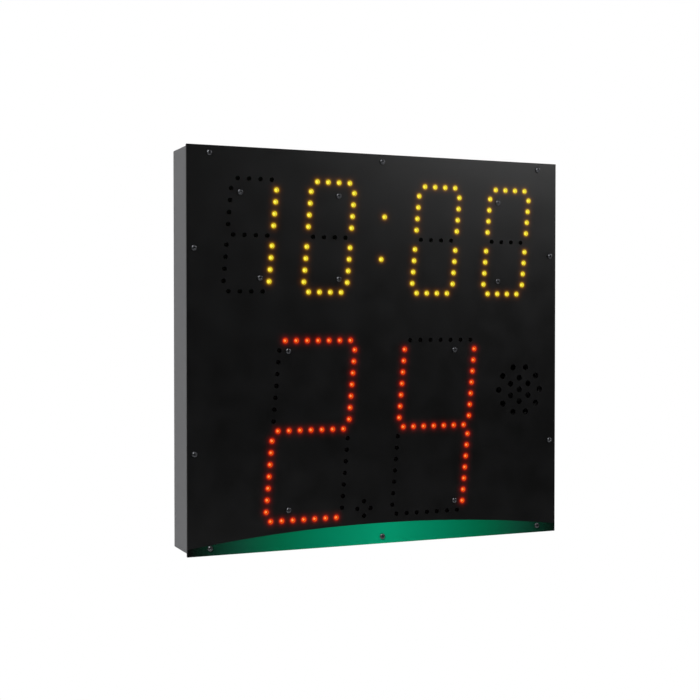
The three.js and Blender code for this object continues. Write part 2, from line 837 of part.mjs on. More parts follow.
// Power supply: a sheet chassis with two ears, a closed cover and a terminal strip at its lower end.
function supplyGeometry() {
  const halfWidth = supplyWidth / 2;
  const halfHeight = supplyHeight / 2;
  const earHalf = supplyEarHeight / 2;
  const earReach = halfWidth + supplyEar;
  const shelf = terminalHeight - halfHeight;
  const base = new THREE.Shape(centredRectangle(supplyWidth, supplyHeight));
  const earHoles = [-1, 1].map((side) =>
    holeOutline(side * supplyScrewX, 0, screwHoleRadius, holeSides),
  );
  const ears = drilled(rectangle(-earReach, -earHalf, earReach, earHalf), earHoles);
  const pieces = [
    forwards(base, 0, sheet),
    forwards(ears, 0, sheet),
    block(-halfWidth, halfWidth, -sheet + fuseBite, -supplyDepth, shelf, halfHeight),
    block(
      -terminalWidth / 2,
      terminalWidth / 2,
      -sheet + fuseBite,
      -sheet - terminalDepth,
      -halfHeight,
      shelf + fuseBite,
    ),
  ];
  const cutters = [];
  for (let i = 0; i < terminalCount; i++) {
    const x = ((i + 0.5) / terminalCount - 0.5) * terminalWidth;
    const front = -sheet - terminalDepth;
    cutters.push(
      block(
        x - terminalSlot / 2,
        x + terminalSlot / 2,
        front + terminalSlotDepth,
        front - cutOverrun,
        -halfHeight - cutOverrun,
        shelf - fuseBite,
      ),
    );
  }
  return shaped(pieces, cutters);
}

const supply = groupAt(supplyX, wallFront, supplyZ);
place("power_supply", supplyGeometry(), brightSteel, supply);
for (const side of [-1, 1]) {
  const length = 2 * sheet + seatGap;
  const geometry = screw(screwRadius, length, screwHeadRadius, screwHeadHeight);
  const mesh = place(`supply_screw_${side < 0 ? 1 : 2}`, geometry, brightSteel, supply);
  mesh.position.set(side * supplyScrewX, -sheet - seatGap, 0);
}

// Control board: two header strips plug it onto the rear of the shot-time board.
const controlFront = boardBack + controlSpacing;
const controlBack = controlFront + boardThickness;
const controlZ = supplyZ;
const controlLow = controlZ - controlHeight / 2;
const controlHigh = controlZ + controlHeight / 2;
const controlRight = controlX + controlWidth / 2;
const supplyPlugX = controlX - controlWidth / 2 + headerInset + plugWidth / 2;
const dataPlugX = dataX + plugWidth;
const speakerPlugZ = controlZ;

function rearPlug(x, low, width, height) {
  const left = x - width / 2;
  return block(left, left + width, controlBack + plugDepth, controlBack - fuseBite, low, low + height);
}

function controlGeometry() {
  const outline = centredRectangle(controlWidth, controlHeight, controlX, controlZ);
  const stripHalf = headerWidth / 2;
  const pieces = [
    forwards(new THREE.Shape(outline), controlBack, boardThickness),
    rearPlug(supplyPlugX, controlLow, plugWidth, plugHeight),
    rearPlug(dataPlugX, controlLow, plugWidth, plugHeight),
    rearPlug(controlRight - plugHeight / 2, speakerPlugZ - plugWidth / 2, plugHeight, plugWidth),
    rearPlug(ribbonX, controlHigh - plugHeight, ribbonPlugWidth, plugHeight),
  ];
  for (const half of [-1, 1]) {
    const z = controlZ + half * (controlHeight / 2 - headerInset);
    const front = boardBack + seatGap;
    const [low, high] = [z - headerHeight / 2, z + headerHeight / 2];
    const strip = [controlX - stripHalf, controlX + stripHalf];
    pieces.push(block(strip[0], strip[1], controlFront + fuseBite, front, low, high));
  }
  const chipHalf = chipSize / 2;
  const chipBack = controlBack + chipThickness;
  pieces.push(
    block(
      controlX - chipHalf,
      controlX + chipHalf,
      chipBack,
      controlBack - fuseBite,
      controlZ - chipHalf,
      controlZ + chipHalf,
    ),
  );
  return shaped(pieces);
}

place("control_board", controlGeometry(), circuitBoard);

// Loudspeaker, in a frame of its own whose origin is the middle of the rim's front

const speaker = groupAt(speakerX, speakerY, speakerZ);
const rimInner = speakerRadius - rimWidth;
const coilGap = 2 * seatGap;
const poleRadius = coilRadius - coilThickness - coilGap;
const plateBore = coilRadius + coilGap;
const magnetFront = basketDepth + basketWall + seatGap;
const magnetBack = magnetFront + magnetDepth;

const neckRadius = rimInner + 2 * basketWall;
const basketFloor = basketDepth + basketWall;
const tagTop = THREE.MathUtils.lerp(basketNeck, basketDepth, tagDepthShare);
const tagRoot = THREE.MathUtils.lerp(rimInner, basketFloorRadius, tagDepthShare);
const tagTip = tagRoot + tagLength;

function frameGeometry() {
  const profile = [
    [rimInner, 0],
    [speakerRadius, 0],
    [speakerRadius, rimThickness],
    [neckRadius, rimThickness],
    [neckRadius, basketNeck],
    [basketFloorRadius + basketWall, basketFloor],
    [plateBore, basketFloor],
    [plateBore, basketDepth],
    [basketFloorRadius, basketDepth],
    [rimInner, basketNeck],
    [rimInner, 0],
  ];
  const tagHalf = tagWidth / 2;
  const tag = block(-tagTip, -basketFloorRadius, tagTop + tagThickness, tagTop, -tagHalf, tagHalf);
  const hollow = revolved(
    [
      [0, 0],
      [rimInner, 0],
      [rimInner, basketNeck],
      [basketFloorRadius, basketDepth],
      [0, basketDepth],
    ],
    speakerSides,
  );
  const tagOutside = geometryOf(solidOf(tag).subtract(solidOf(hollow)));
  return shaped([revolved(profile, speakerSides), tagOutside]);
}

function magnetGeometry() {
  const poleTop = basketDepth - poleRise;
  const gapFloor = coneRestDepth + coneDepth + coilLength + 2 * coneTravel;
  const profile = [
    [0, poleTop],
    [poleRadius, poleTop],
    [poleRadius, gapFloor],
    [plateBore, gapFloor],
    [plateBore, magnetFront],
    [magnetRadius, magnetFront],
    [magnetRadius, magnetBack],
    [0, magnetBack],
  ];
  return geometryOf(solidOf(revolved(profile, speakerSides)));
}

// The cone, its dust cap and the coil's tube move as one. The tube runs in the magnet's gap.
function coneGeometry() {
  const apex = coneRestDepth + coneDepth;
  const coilInner = coilRadius - coilThickness;
  const profile = [
    [0, apex - dustCapRise],
    [coilRadius / 2, apex - dustCapRise + coneThickness],
    [coilRadius, apex],
    [coneRadius, coneRestDepth],
    [coneRadius, coneRestDepth + coneThickness],
    [coilRadius, apex + 2 * coneThickness],
    [coilRadius, apex + coilLength],
    [coilInner, apex + coilLength],
    [coilInner, apex + coneThickness],
    [0, apex - dustCapRise + coneThickness],
  ];
  return geometryOf(solidOf(revolved(profile, speakerSides)));
}

// Half-roll ring between the cone's edge and the rim.
function surroundGeometry() {
  const inner = coneRadius + seatGap;
  const outer = rimInner - seatGap;
  const width = outer - inner;
  const foot = coneRestDepth;
  const profile = [
    [inner, foot],
    [inner + width / 4, foot - coneThickness],
    [outer - width / 4, foot - coneThickness],
    [outer, foot],
    [(inner + outer) / 2, foot + coneThickness / 2],
    [inner, foot],
  ];
  return geometryOf(solidOf(revolved(profile, speakerSides)));
}

place("speaker_frame", frameGeometry(), darkSteel, speaker);
place("speaker_magnet", magnetGeometry(), ferrite, speaker);
place("speaker_cone", coneGeometry(), conePaper, speaker);
place("speaker_surround", surroundGeometry(), foam, speaker);

// Bracket: one folded sheet, spot-welded to the rear wall by its feet. The rim of the loudspeaker
// lies on its face under two clips, and each leg has a window.
function bracketGeometry() {
  const half = speakerRadius + bracketMargin;
  const face = rimThickness + seatGap;
  const foot = wallFront - speakerY;
  const inner = half - sheet;
  const footEnd = inner - bracketFoot;
  const hat = new THREE.Shape([
    new THREE.Vector2(-half, face),
    new THREE.Vector2(half, face),
    new THREE.Vector2(half, foot),
    new THREE.Vector2(footEnd, foot),
    new THREE.Vector2(footEnd, foot - sheet),
    new THREE.Vector2(inner, foot - sheet),
    new THREE.Vector2(inner, face + sheet),
    new THREE.Vector2(-inner, face + sheet),
    new THREE.Vector2(-inner, foot - sheet),
    new THREE.Vector2(-footEnd, foot - sheet),
    new THREE.Vector2(-footEnd, foot),
    new THREE.Vector2(-half, foot),
  ]);
  const opening = holeOutline(0, 0, neckRadius + seatGap, speakerSides);
  const windowHalf = ((foot - face) * bracketWindowDepthShare) / 2;
  const windowMid = (foot + face) / 2;
  const windowSide = half + cutOverrun;
  const windowRise = bracketWindowHeight / 2;
  const pieces = [upwards(hat, -half, 2 * half)];
  for (const side of [-1, 1]) pieces.push(clipGeometry(side * half));
  const cutters = [
    forwards(new THREE.Shape(opening), face + sheet + cutOverrun, sheet + 2 * cutOverrun),
    block(
      -windowSide,
      windowSide,
      windowMid + windowHalf,
      windowMid - windowHalf,
      -windowRise,
      windowRise,
    ),
  ];
  return shaped(pieces, cutters);
}

// A tab that rises at the bracket's upper or lower edge and folds over the rim.
function clipGeometry(edge) {
  const inwards = Math.sign(edge);
  const front = -seatGap - clipThickness;
  const wall = new THREE.Shape([
    new THREE.Vector2(rimThickness + seatGap + fuseBite, edge),
    new THREE.Vector2(front, edge),
    new THREE.Vector2(front, edge - inwards * (bracketMargin + clipReach)),
    new THREE.Vector2(-seatGap, edge - inwards * (bracketMargin + clipReach)),
    new THREE.Vector2(-seatGap, edge - inwards * clipThickness),
    new THREE.Vector2(rimThickness + seatGap + fuseBite, edge - inwards * clipThickness),
  ]);
  return sideways(wall, -clipWidth / 2, clipWidth);
}

place("speaker_bracket", bracketGeometry(), brightSteel, speaker);

// Inner leads. Each follows a smooth route from one fitting's end to the next.

function lead(name, section, points, material) {
  const route = new THREE.CatmullRomCurve3(points.map((point) => new THREE.Vector3(...point)));
  const steps = leadSpanSteps * (points.length - 1);
  const options = { extrudePath: route, steps, bevelEnabled: false };
  place(name, new THREE.ExtrudeGeometry(new THREE.Shape(section), options), material);
}

const roundSection = (radius) => polygon(0, 0, radius, leadSides);
const inletTop = caseBottom + moduleHeight + tabLength + seatGap;
const terminalY = wallFront - sheet - terminalDepth / 2;
const terminalLow = supplyZ - supplyHeight / 2 - seatGap;
const plugY = controlBack + plugDepth / 2;
const plugLow = controlLow - seatGap;
const mainsX = supplyX - terminalWidth / 3;
const outputX = supplyX + terminalWidth / 3;

lead(
  "mains_lead",
  roundSection(mainsLeadRadius),
  [
    [inletX, caseMidY, inletTop],
    [inletX, caseMidY, inletTop + mainsLeadRadius],
    [(inletX + mainsX) / 2, (caseMidY + terminalY) / 2, (inletTop + terminalLow) / 2],
    [mainsX, terminalY, terminalLow - mainsLeadRadius],
    [mainsX, terminalY, terminalLow],
  ],
  cableSleeve,
);

lead(
  "supply_lead",
  roundSection(thinLeadRadius),
  [
    [outputX, terminalY, terminalLow],
    [outputX, terminalY, terminalLow - plugHeight],
    [(outputX + supplyPlugX) / 2, (terminalY + plugY) / 2, terminalLow - 2 * plugHeight],
    [supplyPlugX, plugY, plugLow - plugHeight],
    [supplyPlugX, plugY, plugLow],
  ],
  cableSleeve,
);

const dataTop = caseBottom + dataBodyHeight + seatGap;
lead(
  "data_lead",
  roundSection(thinLeadRadius),
  [
    [dataX, caseMidY, dataTop],
    [dataX, caseMidY, dataTop + plugHeight],
    [(dataX + dataPlugX) / 2, (caseMidY + plugY) / 2, (dataTop + plugLow) / 2],
    [dataPlugX, plugY, plugLow - plugHeight],
    [dataPlugX, plugY, plugLow],
  ],
  cableSleeve,
);

const tagX = speakerX - tagTip - seatGap;
const tagY = speakerY + tagTop + tagThickness / 2;
const plugRight = controlRight + seatGap;
lead(
  "speaker_lead",
  roundSection(thinLeadRadius),
  [
    [plugRight, plugY, speakerPlugZ],
    [plugRight + plugWidth, plugY, speakerPlugZ],
    [(plugRight + tagX) / 2, (plugY + tagY) / 2, (speakerPlugZ + speakerZ) / 2],
    [tagX - bracketFoot, tagY, speakerZ],
    [tagX, tagY, speakerZ],
  ],
  cableSleeve,
);

const gamePlugY = boardBack + plugDepth / 2;
const ribbonLow = controlHigh + seatGap;
const ribbonHigh = gamePlugLow - seatGap;
lead(
  "game_ribbon",
  centredRectangle(ribbonWidth, ribbonThickness),
  [
    [ribbonX, plugY, ribbonLow],
    [ribbonX, plugY, ribbonLow + plugHeight],
    [ribbonX, (plugY + gamePlugY) / 2, (ribbonLow + ribbonHigh) / 2],
    [ribbonX, gamePlugY, ribbonHigh - plugHeight],
    [ribbonX, gamePlugY, ribbonHigh],
  ],
  greyRibbon,
);

export default clock;
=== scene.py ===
import math

import bmesh
import bpy
from mathutils import Matrix, Vector
from mathutils.geometry import delaunay_2d_cdt
from mathutils.kdtree import KDTree


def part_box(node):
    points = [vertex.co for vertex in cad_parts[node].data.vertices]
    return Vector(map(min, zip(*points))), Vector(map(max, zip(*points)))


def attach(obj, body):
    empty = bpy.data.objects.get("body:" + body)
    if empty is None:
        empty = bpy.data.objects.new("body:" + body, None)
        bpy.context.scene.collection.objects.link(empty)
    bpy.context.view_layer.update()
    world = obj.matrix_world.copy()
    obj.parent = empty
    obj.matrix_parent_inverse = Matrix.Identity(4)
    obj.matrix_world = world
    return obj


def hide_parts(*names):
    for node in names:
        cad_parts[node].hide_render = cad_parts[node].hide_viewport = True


# Frame and camera
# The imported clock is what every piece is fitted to. The camera stands to the left of the clock, at
# the height of its middle, about 1.8 m off, with a lens of portrait length.
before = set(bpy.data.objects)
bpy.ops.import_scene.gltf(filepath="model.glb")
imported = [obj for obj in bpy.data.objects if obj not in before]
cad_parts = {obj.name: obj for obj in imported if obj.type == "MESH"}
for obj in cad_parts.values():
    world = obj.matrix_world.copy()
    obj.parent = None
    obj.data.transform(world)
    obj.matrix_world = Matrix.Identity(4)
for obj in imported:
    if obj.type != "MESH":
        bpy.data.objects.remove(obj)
bpy.context.view_layer.update()

lens_length, sensor_width = 66.27, 36
camera_at = (-0.7430, -1.6953, 0.0362)
camera_turn = math.radians(23.10)  # from straight at the wall towards the right
camera_dip = math.radians(1.18)

camera_data = bpy.data.cameras.new("camera")
camera_data.lens = lens_length
camera_data.sensor_width = sensor_width
camera = bpy.data.objects.new("camera", camera_data)
camera.location = camera_at
camera.rotation_euler = (math.pi / 2 - camera_dip, 0, -camera_turn)
bpy.context.scene.collection.objects.link(camera)
bpy.context.scene.camera = camera

# Front panel
# One flat steel sheet of 3 mm, punched for 216 lamps, a grille and 20 screws, and powder coated in
# satin black. A green band with a curved upper edge is screen printed along its foot.
millimetres = 1000  # in a metre: every size below is in millimetres, as on a drawing
panel_edge, panel_corner = 0.12, 0.6  # how far the punched edges and the corners are rounded off
pitch = 15.9  # between neighbouring lamps of a bar
lean = math.tan(math.radians(5))
lamp_hole, screw_hole, grille_hole = 2.95, 2.3, 4.15
hole_sides, grille_sides = 24, 32
game_z, game_count, game_corner = 153.5, 4, (7.95, 13.5)
shot_z, shot_count, shot_corner = -108.4, 7, (7.4, 13)
game_digits = {-192.7: "1", -79.3: "0", 83.3: "0", 196.7: "0"}
shot_digits = {-106.2: "2", 80.1: "4"}
lit_bars = {"0": "abcdef", "1": "bc", "2": "abdeg", "4": "bcfg"}
colon_middle, colon_rise = (0.9, 154.4), 29.4
diamond_middle, diamond_reach = (-27.7, -219.8), 10
grille_middle, grille_step = (219.2, -59.8), 16.95
band_middle_x, band_top, band_radius, band_blur = 5, -241.2, 2166, 0.3


def corners(node):
    """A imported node's lowest and highest corner, in millimetres."""
    low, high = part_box(node)
    return low * millimetres, high * millimetres


def circle(x, z, radius, sides, start=0.0):
    turns = [start + 2 * math.pi * i / sides for i in range(sides)]
    return [Vector((x + radius * math.cos(turn), z + radius * math.sin(turn))) for turn in turns]


def rectangle(left, low, right, high, corner=0.0, steps=4):
    """Corners anticlockwise from the lower left, each rounded with that many steps."""
    if not corner:
        return [Vector(point) for point in ((left, low), (right, low), (right, high), (left, high))]
    middles = (
        (left + corner, low + corner, 180),
        (right - corner, low + corner, 270),
        (right - corner, high - corner, 0),
        (left + corner, high - corner, 90),
    )
    points = []
    for x, z, begin in middles:
        for i in range(steps + 1):
            turn = math.radians(begin + 90 * i / steps)
            points.append(Vector((x + corner * math.cos(turn), z + corner * math.sin(turn))))
    return points


def shrunk(loop, inset):
    """The loop moved to its left, which is into the material of an anticlockwise outline."""
    if not inset:
        return loop
    moved = []
    for i, point in enumerate(loop):
        before = (point - loop[i - 1]).normalized()
        after = (loop[(i + 1) % len(loop)] - point).normalized()
        inwards = Vector((-before.y - after.y, before.x + after.x)).normalized()
        moved.append(point + inwards * inset / max(0.4, inwards.dot(Vector((-after.y, after.x)))))
    return moved


def prism(outline, levels, holes=(), rings=(), dots=()):
    """A plate drawn in X and Z, as points and faces. It lies between the first level along Y and the
    last. A level is a place along Y and how far the edges are drawn in there. Rings and dots are
    extra points of the front face."""
    loops = [outline, *(hole[::-1] for hole in holes)]
    points, faces, edges_at = [], [], []
    for number, (y, inset) in enumerate(levels):
        at_level = [shrunk(loop, inset) for loop in loops]
        if number not in (0, len(levels) - 1):
            edges_at.append([])
            for loop in at_level:
                edges_at[-1].append(list(range(len(points), len(points) + len(loop))))
                points.extend((point.x, y, point.y) for point in loop)
            continue
        flat, filled, ring_edges = [], [], []
        for loop in (*at_level, *(rings if number == 0 else ())):
            filled.append(list(range(len(flat), len(flat) + len(loop))))
            flat.extend(loop)
        for ring in filled[len(loops) :]:
            ring_edges.extend(zip(ring, ring[1:] + ring[:1]))
        flat.extend(dots if number == 0 else ())
        anticlockwise = [filled[0], *(loop[::-1] for loop in filled[1 : len(loops)])]
        filling = delaunay_2d_cdt(flat, ring_edges, anticlockwise, 1, 1e-6)
        found, _, triangles, origins, _, held = filling
        start = len(points)
        points.extend((point.x, y, point.y) for point in found)
        place = {source: start + i for i, sources in enumerate(origins) for source in sources}
        edges_at.append([[place[i] for i in loop] for loop in filled[: len(loops)]])
        for triangle, inside in zip(triangles, held):
            if set(inside) == {0}:
                corner = [start + i for i in triangle]
                faces.append(corner if number == 0 else corner[::-1])
    for front, back in zip(edges_at, edges_at[1:]):
        for near, far in zip(front, back):
            for i in range(len(near)):
                after = (i + 1) % len(near)
                faces.append([near[i], far[i], far[after], near[after]])
    return points, faces


def slab(front, back, edge):
    """Levels of a plate whose edges are taken off at both faces."""
    return [(front, edge), (front + edge, 0), (back - edge, 0), (back, edge)]


def fitted(thing, body, slot, *nodes):
    bpy.context.scene.collection.objects.link(thing)
    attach(thing, body)
    if nodes:
        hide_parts(*nodes)
    return thing


def piece(name, shape, material, body, slot, *nodes, sharp=30):
    """An object from a shape in millimetres, on its body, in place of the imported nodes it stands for."""
    points, faces = shape
    mesh = bpy.data.meshes.new(name)
    mesh.from_pydata([Vector(point) / millimetres for point in points], [], faces)
    work = bmesh.new()
    work.from_mesh(mesh)
    bmesh.ops.remove_doubles(work, verts=work.verts, dist=1e-6)
    bmesh.ops.recalc_face_normals(work, faces=work.faces)
    work.to_mesh(mesh)
    work.free()
    mesh.shade_smooth()
    mesh.set_sharp_from_angle(angle=math.radians(sharp))
    mesh.materials.append(material)
    thing = bpy.data.objects.new(name, mesh)
    # Flat faces stay flat beside their rounded edges.
    thing.modifiers.new("flat_faces", "WEIGHTED_NORMAL").keep_sharp = True
    return fitted(thing, body, slot, *nodes)


def linear(code):
    """A colour written as sRGB hex, in the linear values that a shader takes."""
    shares = [int(code[i : i + 2], 16) / 255 for i in (1, 3, 5)]
    return [s / 12.92 if s <= 0.04045 else ((s + 0.055) / 1.055) ** 2.4 for s in shares] + [1]


def add(tree, kind, inputs=None, stops=(), **settings):
    """One node with its settings. Each input is a value, or another node's output to link. The stops
    of a colour ramp are a share and a colour each."""
    node = tree.nodes.new(kind)
    for key, value in settings.items():
        setattr(node, key, value)
    for key, value in (inputs or {}).items():
        if isinstance(value, bpy.types.NodeSocket):
            tree.links.new(value, node.inputs[key])
        else:
            node.inputs[key].default_value = value
    for number, (share, code) in enumerate(stops):
        marks = node.color_ramp.elements
        mark = marks[number] if number < len(marks) else marks.new(1)
        mark.position = share
        mark.color = linear(code)
    return node


def finish(name, dark, light, roughness, grain, relief, metallic=0.0, ior=None, stretch=(1, 1, 1)):
    """A material whose colour and roughness vary between two values each, over a grain of that size
    in millimetres, with a relief of that depth. Stretch draws the grain out along an axis."""
    material = bpy.data.materials.new(name)
    material.use_nodes = True
    tree = material.node_tree
    shader = tree.nodes["Principled BSDF"]
    shader.inputs["Metallic"].default_value = metallic
    if ior:
        shader.inputs["IOR"].default_value = ior
    place = add(tree, "ShaderNodeTexCoord").outputs["Object"]
    drawn = add(tree, "ShaderNodeMapping", {"Vector": place, "Scale": [1 / s for s in stretch]}).outputs[0]
    # The same noise at two sizes: the grain itself, and a cloud 40 times as wide.
    noises = []
    for size, detail in ((grain, 3.0), (grain * 40, 4.0)):
        noise = {"Vector": drawn, "Scale": millimetres / size, "Detail": detail}
        noises.append(add(tree, "ShaderNodeTexNoise", noise).outputs["Fac"])
    mixed = add(tree, "ShaderNodeMath", dict(enumerate(noises)), operation="ADD").outputs[0]
    spread = add(tree, "ShaderNodeMapRange", {"Value": mixed, "From Min": 0.7, "From Max": 1.3}).outputs[0]
    colour = add(tree, "ShaderNodeValToRGB", {"Fac": spread}, stops=((0, dark), (1, light)))
    tree.links.new(colour.outputs["Color"], shader.inputs["Base Color"])
    polish = {"Value": spread, "To Min": roughness[0], "To Max": roughness[1]}
    tree.links.new(add(tree, "ShaderNodeMapRange", polish).outputs[0], shader.inputs["Roughness"])
    bump = {"Height": noises[0], "Distance": relief / millimetres, "Strength": 1.0}
    tree.links.new(add(tree, "ShaderNodeBump", bump).outputs[0], shader.inputs["Normal"])
    return material


def opened(material):
    """A material's node tree, its shader, and the place on the object along X, Y and Z."""
    tree = material.node_tree
    place = add(tree, "ShaderNodeTexCoord").outputs["Object"]
    along = add(tree, "ShaderNodeSeparateXYZ", {"Vector": place}).outputs
    return tree, tree.nodes["Principled BSDF"], along


def laid_over(tree, shader, share, colour):
    """Covers the shader's colour with another, as far as the share says."""
    bare = shader.inputs["Base Color"].links[0].from_socket
    # A Mix node has its two colours at the inputs 6 and 7 and their mixture at the output 2.
    mix = add(tree, "ShaderNodeMix", {"Factor": share, 6: bare, 7: colour}, data_type="RGBA")
    tree.links.new(mix.outputs[2], shader.inputs["Base Color"])


def digits(figures, middle_z, count, corner):
    """Places of the lamps in a row of leaning seven-bar digits: those that are lit, and the rest. The
    corner is how far a digit's last lamps lie from the bars beside them, across and upwards."""
    span = (count - 1) * pitch
    half_width, half_height = span / 2 + corner[0], span + 2 * corner[1]
    lit, unlit = [], []
    for middle_x, figure in figures.items():
        for i in range(count):
            across, along = i * pitch - span / 2, corner[1] + i * pitch
            bars = {
                "a": (across, half_height),
                "b": (half_width, along),
                "c": (half_width, -along),
                "d": (across, -half_height),
                "e": (-half_width, -along),
                "f": (-half_width, along),
                "g": (across, 0),
            }
            for bar, (x, z) in bars.items():
                chosen = lit if bar in lit_bars[figure] else unlit
                chosen.append((middle_x + x + lean * z, middle_z + z))
    return lit, unlit


game_lit, game_unlit = digits(game_digits, game_z, game_count, game_corner)
shot_lit, shot_unlit = digits(shot_digits, shot_z, shot_count, shot_corner)
for rise in (-colon_rise, colon_rise):
    game_lit.append((colon_middle[0] + lean * rise, colon_middle[1] + rise))
shot_unlit += [tuple(place) for place in circle(*diamond_middle, diamond_reach, 4)]

panel_low, panel_high = corners("front_panel")
edge_screws = [(x, z) for z in (260, -260) for x in (-249, 0, 249)]
edge_screws += [(x, z) for x in (-270, 270) for z in (135, -135)]
game_screws = [(-206.5, 210.1), (-178.9, 96.9)]
game_screws += [(x, z) for x in (-65.5, 182.9) for z in (210.1, 96.9)]
shot_screws = [(x, z) for x in (-139.0, 112.9) for z in (-1.0, -215.8)]
board_screws = game_screws + shot_screws
upwards = math.pi / 2
grille = [Vector(grille_middle), *circle(*grille_middle, grille_step, 6, upwards)]
grille += circle(*grille_middle, 2 * grille_step, 10, upwards + math.pi / 10)

# Painted glow: the paint round each lit lamp's hole gives off the lamps' light as emission, a bright rim
# that fades within a millimetre and a faint haze that reaches 14 mm. Both are held by points of the
# front face: a few rings round each lit lamp, and a grid of dots between them, clear of every hole.
glow_rings = (3.5, 4.0, 4.7, 5.6, 7.0)
haze_reach, haze_grid, haze_clear = 14.0, 4.0, 4.8
lamp_places = [*game_lit, *game_unlit, *shot_lit, *shot_unlit]


def tree_of(places):
    """A search tree over places in X and Z."""
    found = KDTree(len(places))
    for i, (x, z) in enumerate(places):
        found.insert((x, 0, z), i)
    found.balance()
    return found


lit_tree = tree_of([*game_lit, *shot_lit])
hole_tree = tree_of([*lamp_places, *edge_screws, *board_screws, *grille])
haze_dots = []
for i in range(int(panel_low.x / haze_grid) + 2, int(panel_high.x / haze_grid) - 1):
    for k in range(int(panel_low.z / haze_grid) + 2, int(panel_high.z / haze_grid) - 1):
        place = (i * haze_grid, 0, k * haze_grid)
        to_lit, to_hole = (found.find(place)[2] for found in (lit_tree, hole_tree))
        if glow_rings[-1] + 1 < to_lit < haze_reach + haze_grid and to_hole > haze_clear:
            haze_dots.append(Vector((place[0], place[2])))
panel_outline = rectangle(panel_low.x, panel_low.z, panel_high.x, panel_high.z, panel_corner)
panel_holes = [circle(x, z, lamp_hole, hole_sides) for x, z in lamp_places]
panel_holes += [circle(x, z, screw_hole, hole_sides) for x, z in (*edge_screws, *board_screws)]
panel_holes += [circle(x, z, grille_hole, grille_sides) for x, z in grille]
rings = [circle(x, z, radius, hole_sides) for x, z in (*game_lit, *shot_lit) for radius in glow_rings]
painted_glow_depth = panel_low.y + 2.0  # the wall of a lit lamp's hole is painted with glow as far back as this
panel_levels = slab(panel_low.y, panel_high.y, panel_edge)
panel_levels.insert(2, (painted_glow_depth, 0))
panel_shape = prism(panel_outline, panel_levels, panel_holes, rings, haze_dots)

# Satin powder coat: nearly black, with the faint orange peel of baked powder and a wide sheen.
coat = finish("black_powder_coat", "#040404", "#080809", (0.285, 0.345), 0.9, 0.006, ior=1.5)
tree, shader, along = opened(coat)
# Screen-printed green: the ink lies inside a wide arc, on the front face only, deepest in the
# middle and thinned out in a fine raster towards both ends.
front_face = (panel_low.y + panel_edge / 2) / millimetres
band_centre = (band_middle_x / millimetres, 0, (band_top - band_radius) / millimetres)
flat = add(tree, "ShaderNodeCombineXYZ", {"X": along["X"], "Z": along["Z"]}).outputs[0]
reach = add(tree, "ShaderNodeVectorMath", {0: flat, 1: band_centre}, operation="DISTANCE").outputs["Value"]
inner, outer = ((band_radius + blur) / millimetres for blur in (-band_blur, band_blur))
fading = {"Value": reach, "From Min": inner, "From Max": outer, "To Min": 1.0, "To Max": 0.0}
inside = add(tree, "ShaderNodeMapRange", fading).outputs[0]
in_front = add(tree, "ShaderNodeMath", {0: along["Y"], 1: front_face}, operation="LESS_THAN").outputs[0]
printed = add(tree, "ShaderNodeMath", {0: inside, 1: in_front}, operation="MULTIPLY").outputs[0]
aside = add(tree, "ShaderNodeMath", {0: along["X"], 1: band_centre[0]}, operation="SUBTRACT").outputs[0]
aside = add(tree, "ShaderNodeMath", {0: aside}, operation="ABSOLUTE").outputs[0]
half_panel = panel_high.x / millimetres
share = add(tree, "ShaderNodeMath", {0: aside, 1: half_panel}, operation="DIVIDE").outputs[0]
ink_stops = (
    (0.02, "#03966D"),
    (0.33, "#007C58"),
    (0.54, "#006745"),
    (0.64, "#055A3D"),
    (0.75, "#0B4733"),
    (0.85, "#093425"),
    (0.93, "#062016"),
    (1.0, "#060907"),
)
ink = add(tree, "ShaderNodeValToRGB", {"Fac": share}, stops=ink_stops).outputs["Color"]
laid_over(tree, shader, printed, ink)
# The ink dries glossier than the coat.
dull = shader.inputs["Roughness"].links[0].from_socket
sheen = add(tree, "ShaderNodeMapRange", {"Value": printed, "To Min": dull, "To Max": 0.18})
tree.links.new(sheen.outputs[0], shader.inputs["Roughness"])

# Painted shade: the walls of the punched holes are dead black, without any sheen, for the shade in them.
painted_hole_shade = finish("hole_walls_painted_shade", "#010101", "#030303", (0.85, 0.95), 0.6, 0.01, ior=1.5)
painted_hole_shade.node_tree.nodes["Principled BSDF"].inputs["Specular IOR Level"].default_value = 0.0
# Painted glow: both paints give off, as emission, the colour held in each point of the panel.
for glowing_paint in (coat, painted_hole_shade):
    tree = glowing_paint.node_tree
    shader = tree.nodes["Principled BSDF"]
    painted_lamp_glow = add(tree, "ShaderNodeAttribute", attribute_name="painted_lamp_glow")
    tree.links.new(painted_lamp_glow.outputs["Color"], shader.inputs["Emission Color"])
    shader.inputs["Emission Strength"].default_value = 1.0

panel = piece("front_plate", panel_shape, coat, "clock", "black_sheet", "front_panel")
panel.data.materials.append(painted_hole_shade)
# The walls of the holes, which don't face front, take the painted shade.
for face in panel.data.polygons:
    place = face.center * millimetres
    if abs(face.normal.y) < 0.9 and hole_tree.find((place.x, 0, place.z))[2] < grille_hole + 1:
        face.material_index = 1
